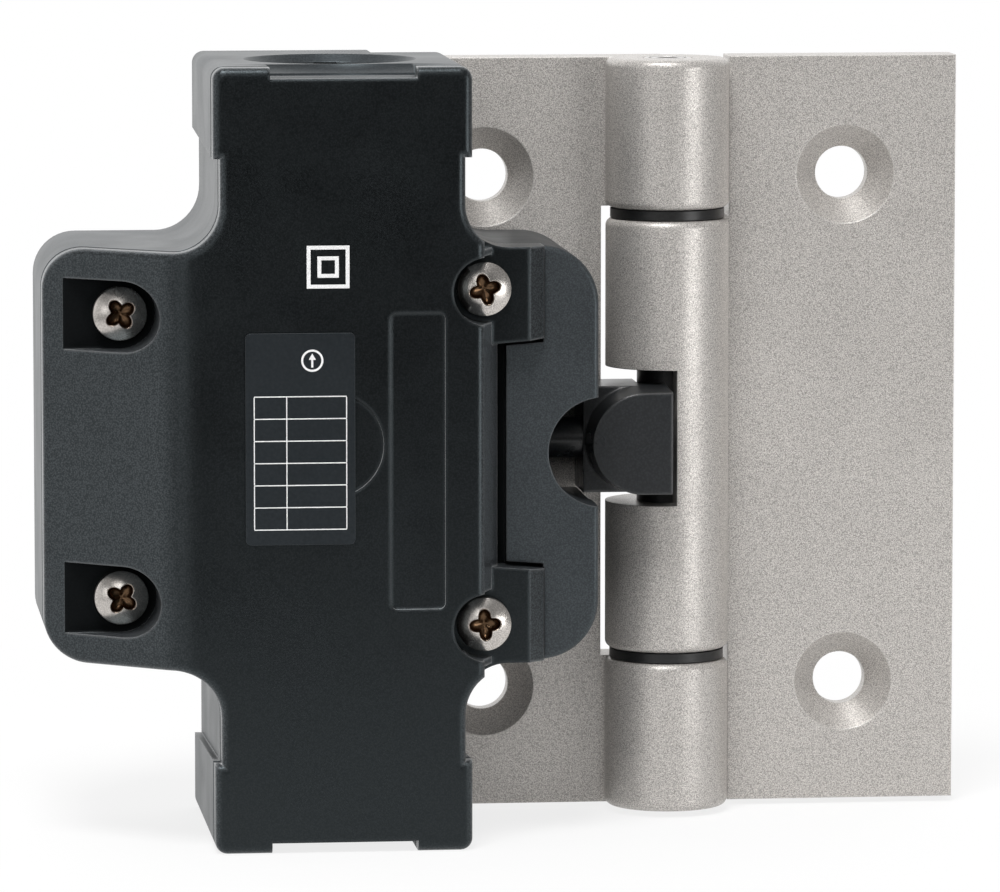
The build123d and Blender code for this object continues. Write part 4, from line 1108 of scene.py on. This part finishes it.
@dataclass
class Studio:
    """The floor, the backdrop, the lamps and the camera, in metres and degrees."""

    floor_height: float = CAD_BOUNDS[0][2]
    floor_radius: float = 0.22
    paper_fade: Pair = (0.07, 0.16)
    paper_white: float = 0.8
    shade_air: float = 0.04
    side_air: float = 0.32
    back_air: float = 1.25
    shade_towards: Triple = (0.107, -0.988, -0.110)
    shade_spread: Pair = (0.72, 0.94)
    back_rise: float = 0.6
    lamp_aim: Triple = (0.0, -0.01, 0.0)
    lamps: tuple[Lamp, ...] = (
        Lamp("left_lamp", (-0.95, -0.25, 0.15), 0.8, 1.5),
        Lamp("top_lamp", (-0.15, -0.45, 0.85), 0.34, 7.5),
        Lamp("right_lamp", (0.66, -0.72, -0.06), 0.35, 2.4),
        Lamp("front_left_lamp", (-0.58, -0.80, 0.10), 0.3, 0.5),
        Lamp("key_lamp", (-0.13, -0.93, 0.32), 0.35, 0.9),
    )
    azimuth: float = 6.2
    elevation: float = 6.3
    aim_mm: Triple = (1.44, -10.0, -1.17)
    distance: float = 0.9
    sensor_mm: float = 36.0
    focal_mm: float = 268.96
    far_clip: float = 50.0

    def build(self) -> None:
        """Builds the whole studio."""
        self._floor()
        self._world()
        self._lamps()
        self._camera()

    def _floor(self) -> None:
        disc = bmesh.new()
        bmesh.ops.create_circle(disc, cap_ends=True, radius=self.floor_radius, segments=96)
        bmesh.ops.translate(disc, verts=disc.verts, vec=(0.0, 0.0, self.floor_height))
        floor = new_object("studio_floor", plain_mesh("studio_floor", disc))
        material = bpy.data.materials.new("studio_paper")
        board = blank_board(material)
        paper = board.add("ShaderNodeBsdfDiffuse", {"Color": (0.86, 0.86, 0.86, 1.0)})
        white = board.add("ShaderNodeEmission", {"Color": WHITE, "Strength": 1.0})
        rays = board.add("ShaderNodeLightPath")
        seen = board.math("MAXIMUM", rays.outputs["Is Camera Ray"], rays.outputs["Is Glossy Ray"])
        seen = board.math("MAXIMUM", seen, rays.outputs["Is Transmission Ray"])
        place = board.add("ShaderNodeTexCoord").outputs["Object"]
        away = board.add("ShaderNodeVectorMath", {0: place}, operation="LENGTH").outputs["Value"]
        share = board.math("MULTIPLY", seen, board.remap(away, *self.paper_fade, self.paper_white, 1.0))
        mixed = board.add("ShaderNodeMixShader", {0: share, 1: paper.outputs[0], 2: white.outputs[0]})
        board.add("ShaderNodeOutputMaterial", {"Surface": mixed.outputs[0]})
        floor.data.materials.append(material)

    def _world(self) -> None:
        """Makes the surroundings: white to the camera, and soft light with a dark place in front."""
        world = bpy.data.worlds.new("studio_air")
        bpy.context.scene.world = world
        board = blank_board(world)
        towards = board.add("ShaderNodeTexCoord").outputs["Generated"]
        depth = board.add("ShaderNodeSeparateXYZ", {"Vector": towards}).outputs["Y"]
        facing = board.add("ShaderNodeVectorMath", {0: towards, 1: self.shade_towards},
                           operation="DOT_PRODUCT").outputs["Value"]
        front = board.remap(facing, *self.shade_spread, self.side_air, self.shade_air)
        behind = board.remap(depth, 0.0, self.back_rise, 0.0, self.back_air)
        level = board.math("MAXIMUM", front, behind)
        soft = board.add("ShaderNodeBackground", {"Color": WHITE, "Strength": level})
        white = board.add("ShaderNodeBackground", {"Color": WHITE, "Strength": 1.0})
        rays = board.add("ShaderNodeLightPath")
        mixed = board.add("ShaderNodeMixShader", {
            0: rays.outputs["Is Camera Ray"], 1: soft.outputs[0], 2: white.outputs[0]})
        board.add("ShaderNodeOutputWorld", {"Surface": mixed.outputs[0]})

    def _lamps(self) -> None:
        """Hangs the soft lamps."""
        for lamp in self.lamps:
            light = bpy.data.lights.new(lamp.name, "AREA")
            light.shape = "SQUARE"
            light.size = lamp.size
            light.energy = lamp.power
            place = Vector(lamp.place)
            self._turn(new_object(lamp.name, light), place, Vector(self.lamp_aim) - place)

    @staticmethod
    def _turn(holder: Piece, place: Vector, ahead: Vector) -> None:
        """Puts a lamp or the camera in its place and points it."""
        holder.location = place
        holder.rotation_euler = ahead.to_track_quat("-Z", "Y").to_euler()

    def _camera(self) -> None:
        """Places the camera at the photograph's angle."""
        azimuth, elevation = math.radians(self.azimuth), math.radians(self.elevation)
        ahead = Vector((math.sin(azimuth) * math.cos(elevation),
                        math.cos(azimuth) * math.cos(elevation), -math.sin(elevation)))
        lens = bpy.data.cameras.new("studio_camera")
        lens.sensor_fit = "HORIZONTAL"
        lens.sensor_width = self.sensor_mm
        lens.lens = self.focal_mm
        lens.clip_end = self.far_clip
        holder = new_object("studio_camera", lens)
        self._turn(holder, Vector(self.aim_mm) * MM - ahead * self.distance, ahead)
        bpy.context.scene.camera = holder


def main() -> None:
    """Builds the finishes, the pieces and the studio in order."""
    logging.basicConfig(level=logging.INFO, format="%(name)s: %(message)s")
    bpy.context.scene.view_settings.view_transform = "Standard"
    shelf = FinishShelf()
    shelf.dress_nodes(frame["nodes"])
    shells = {"front_cover": frame["nodes"]["front_cover"]}
    shells["housing_base"] = ColumnEnds().build(frame["nodes"]["housing_base"])
    # Painted shade on the floors of the pockets and grooves.
    PaintedFloorShade().dress(shells, shelf)
    ReturnSpring().build(frame["nodes"]["return_spring"])
    for assembly in (CoverScrews(), CableEntry(), FacePrint()):
        assembly.build(shelf)
    Studio().build()


if __name__ == "__main__":
    main()
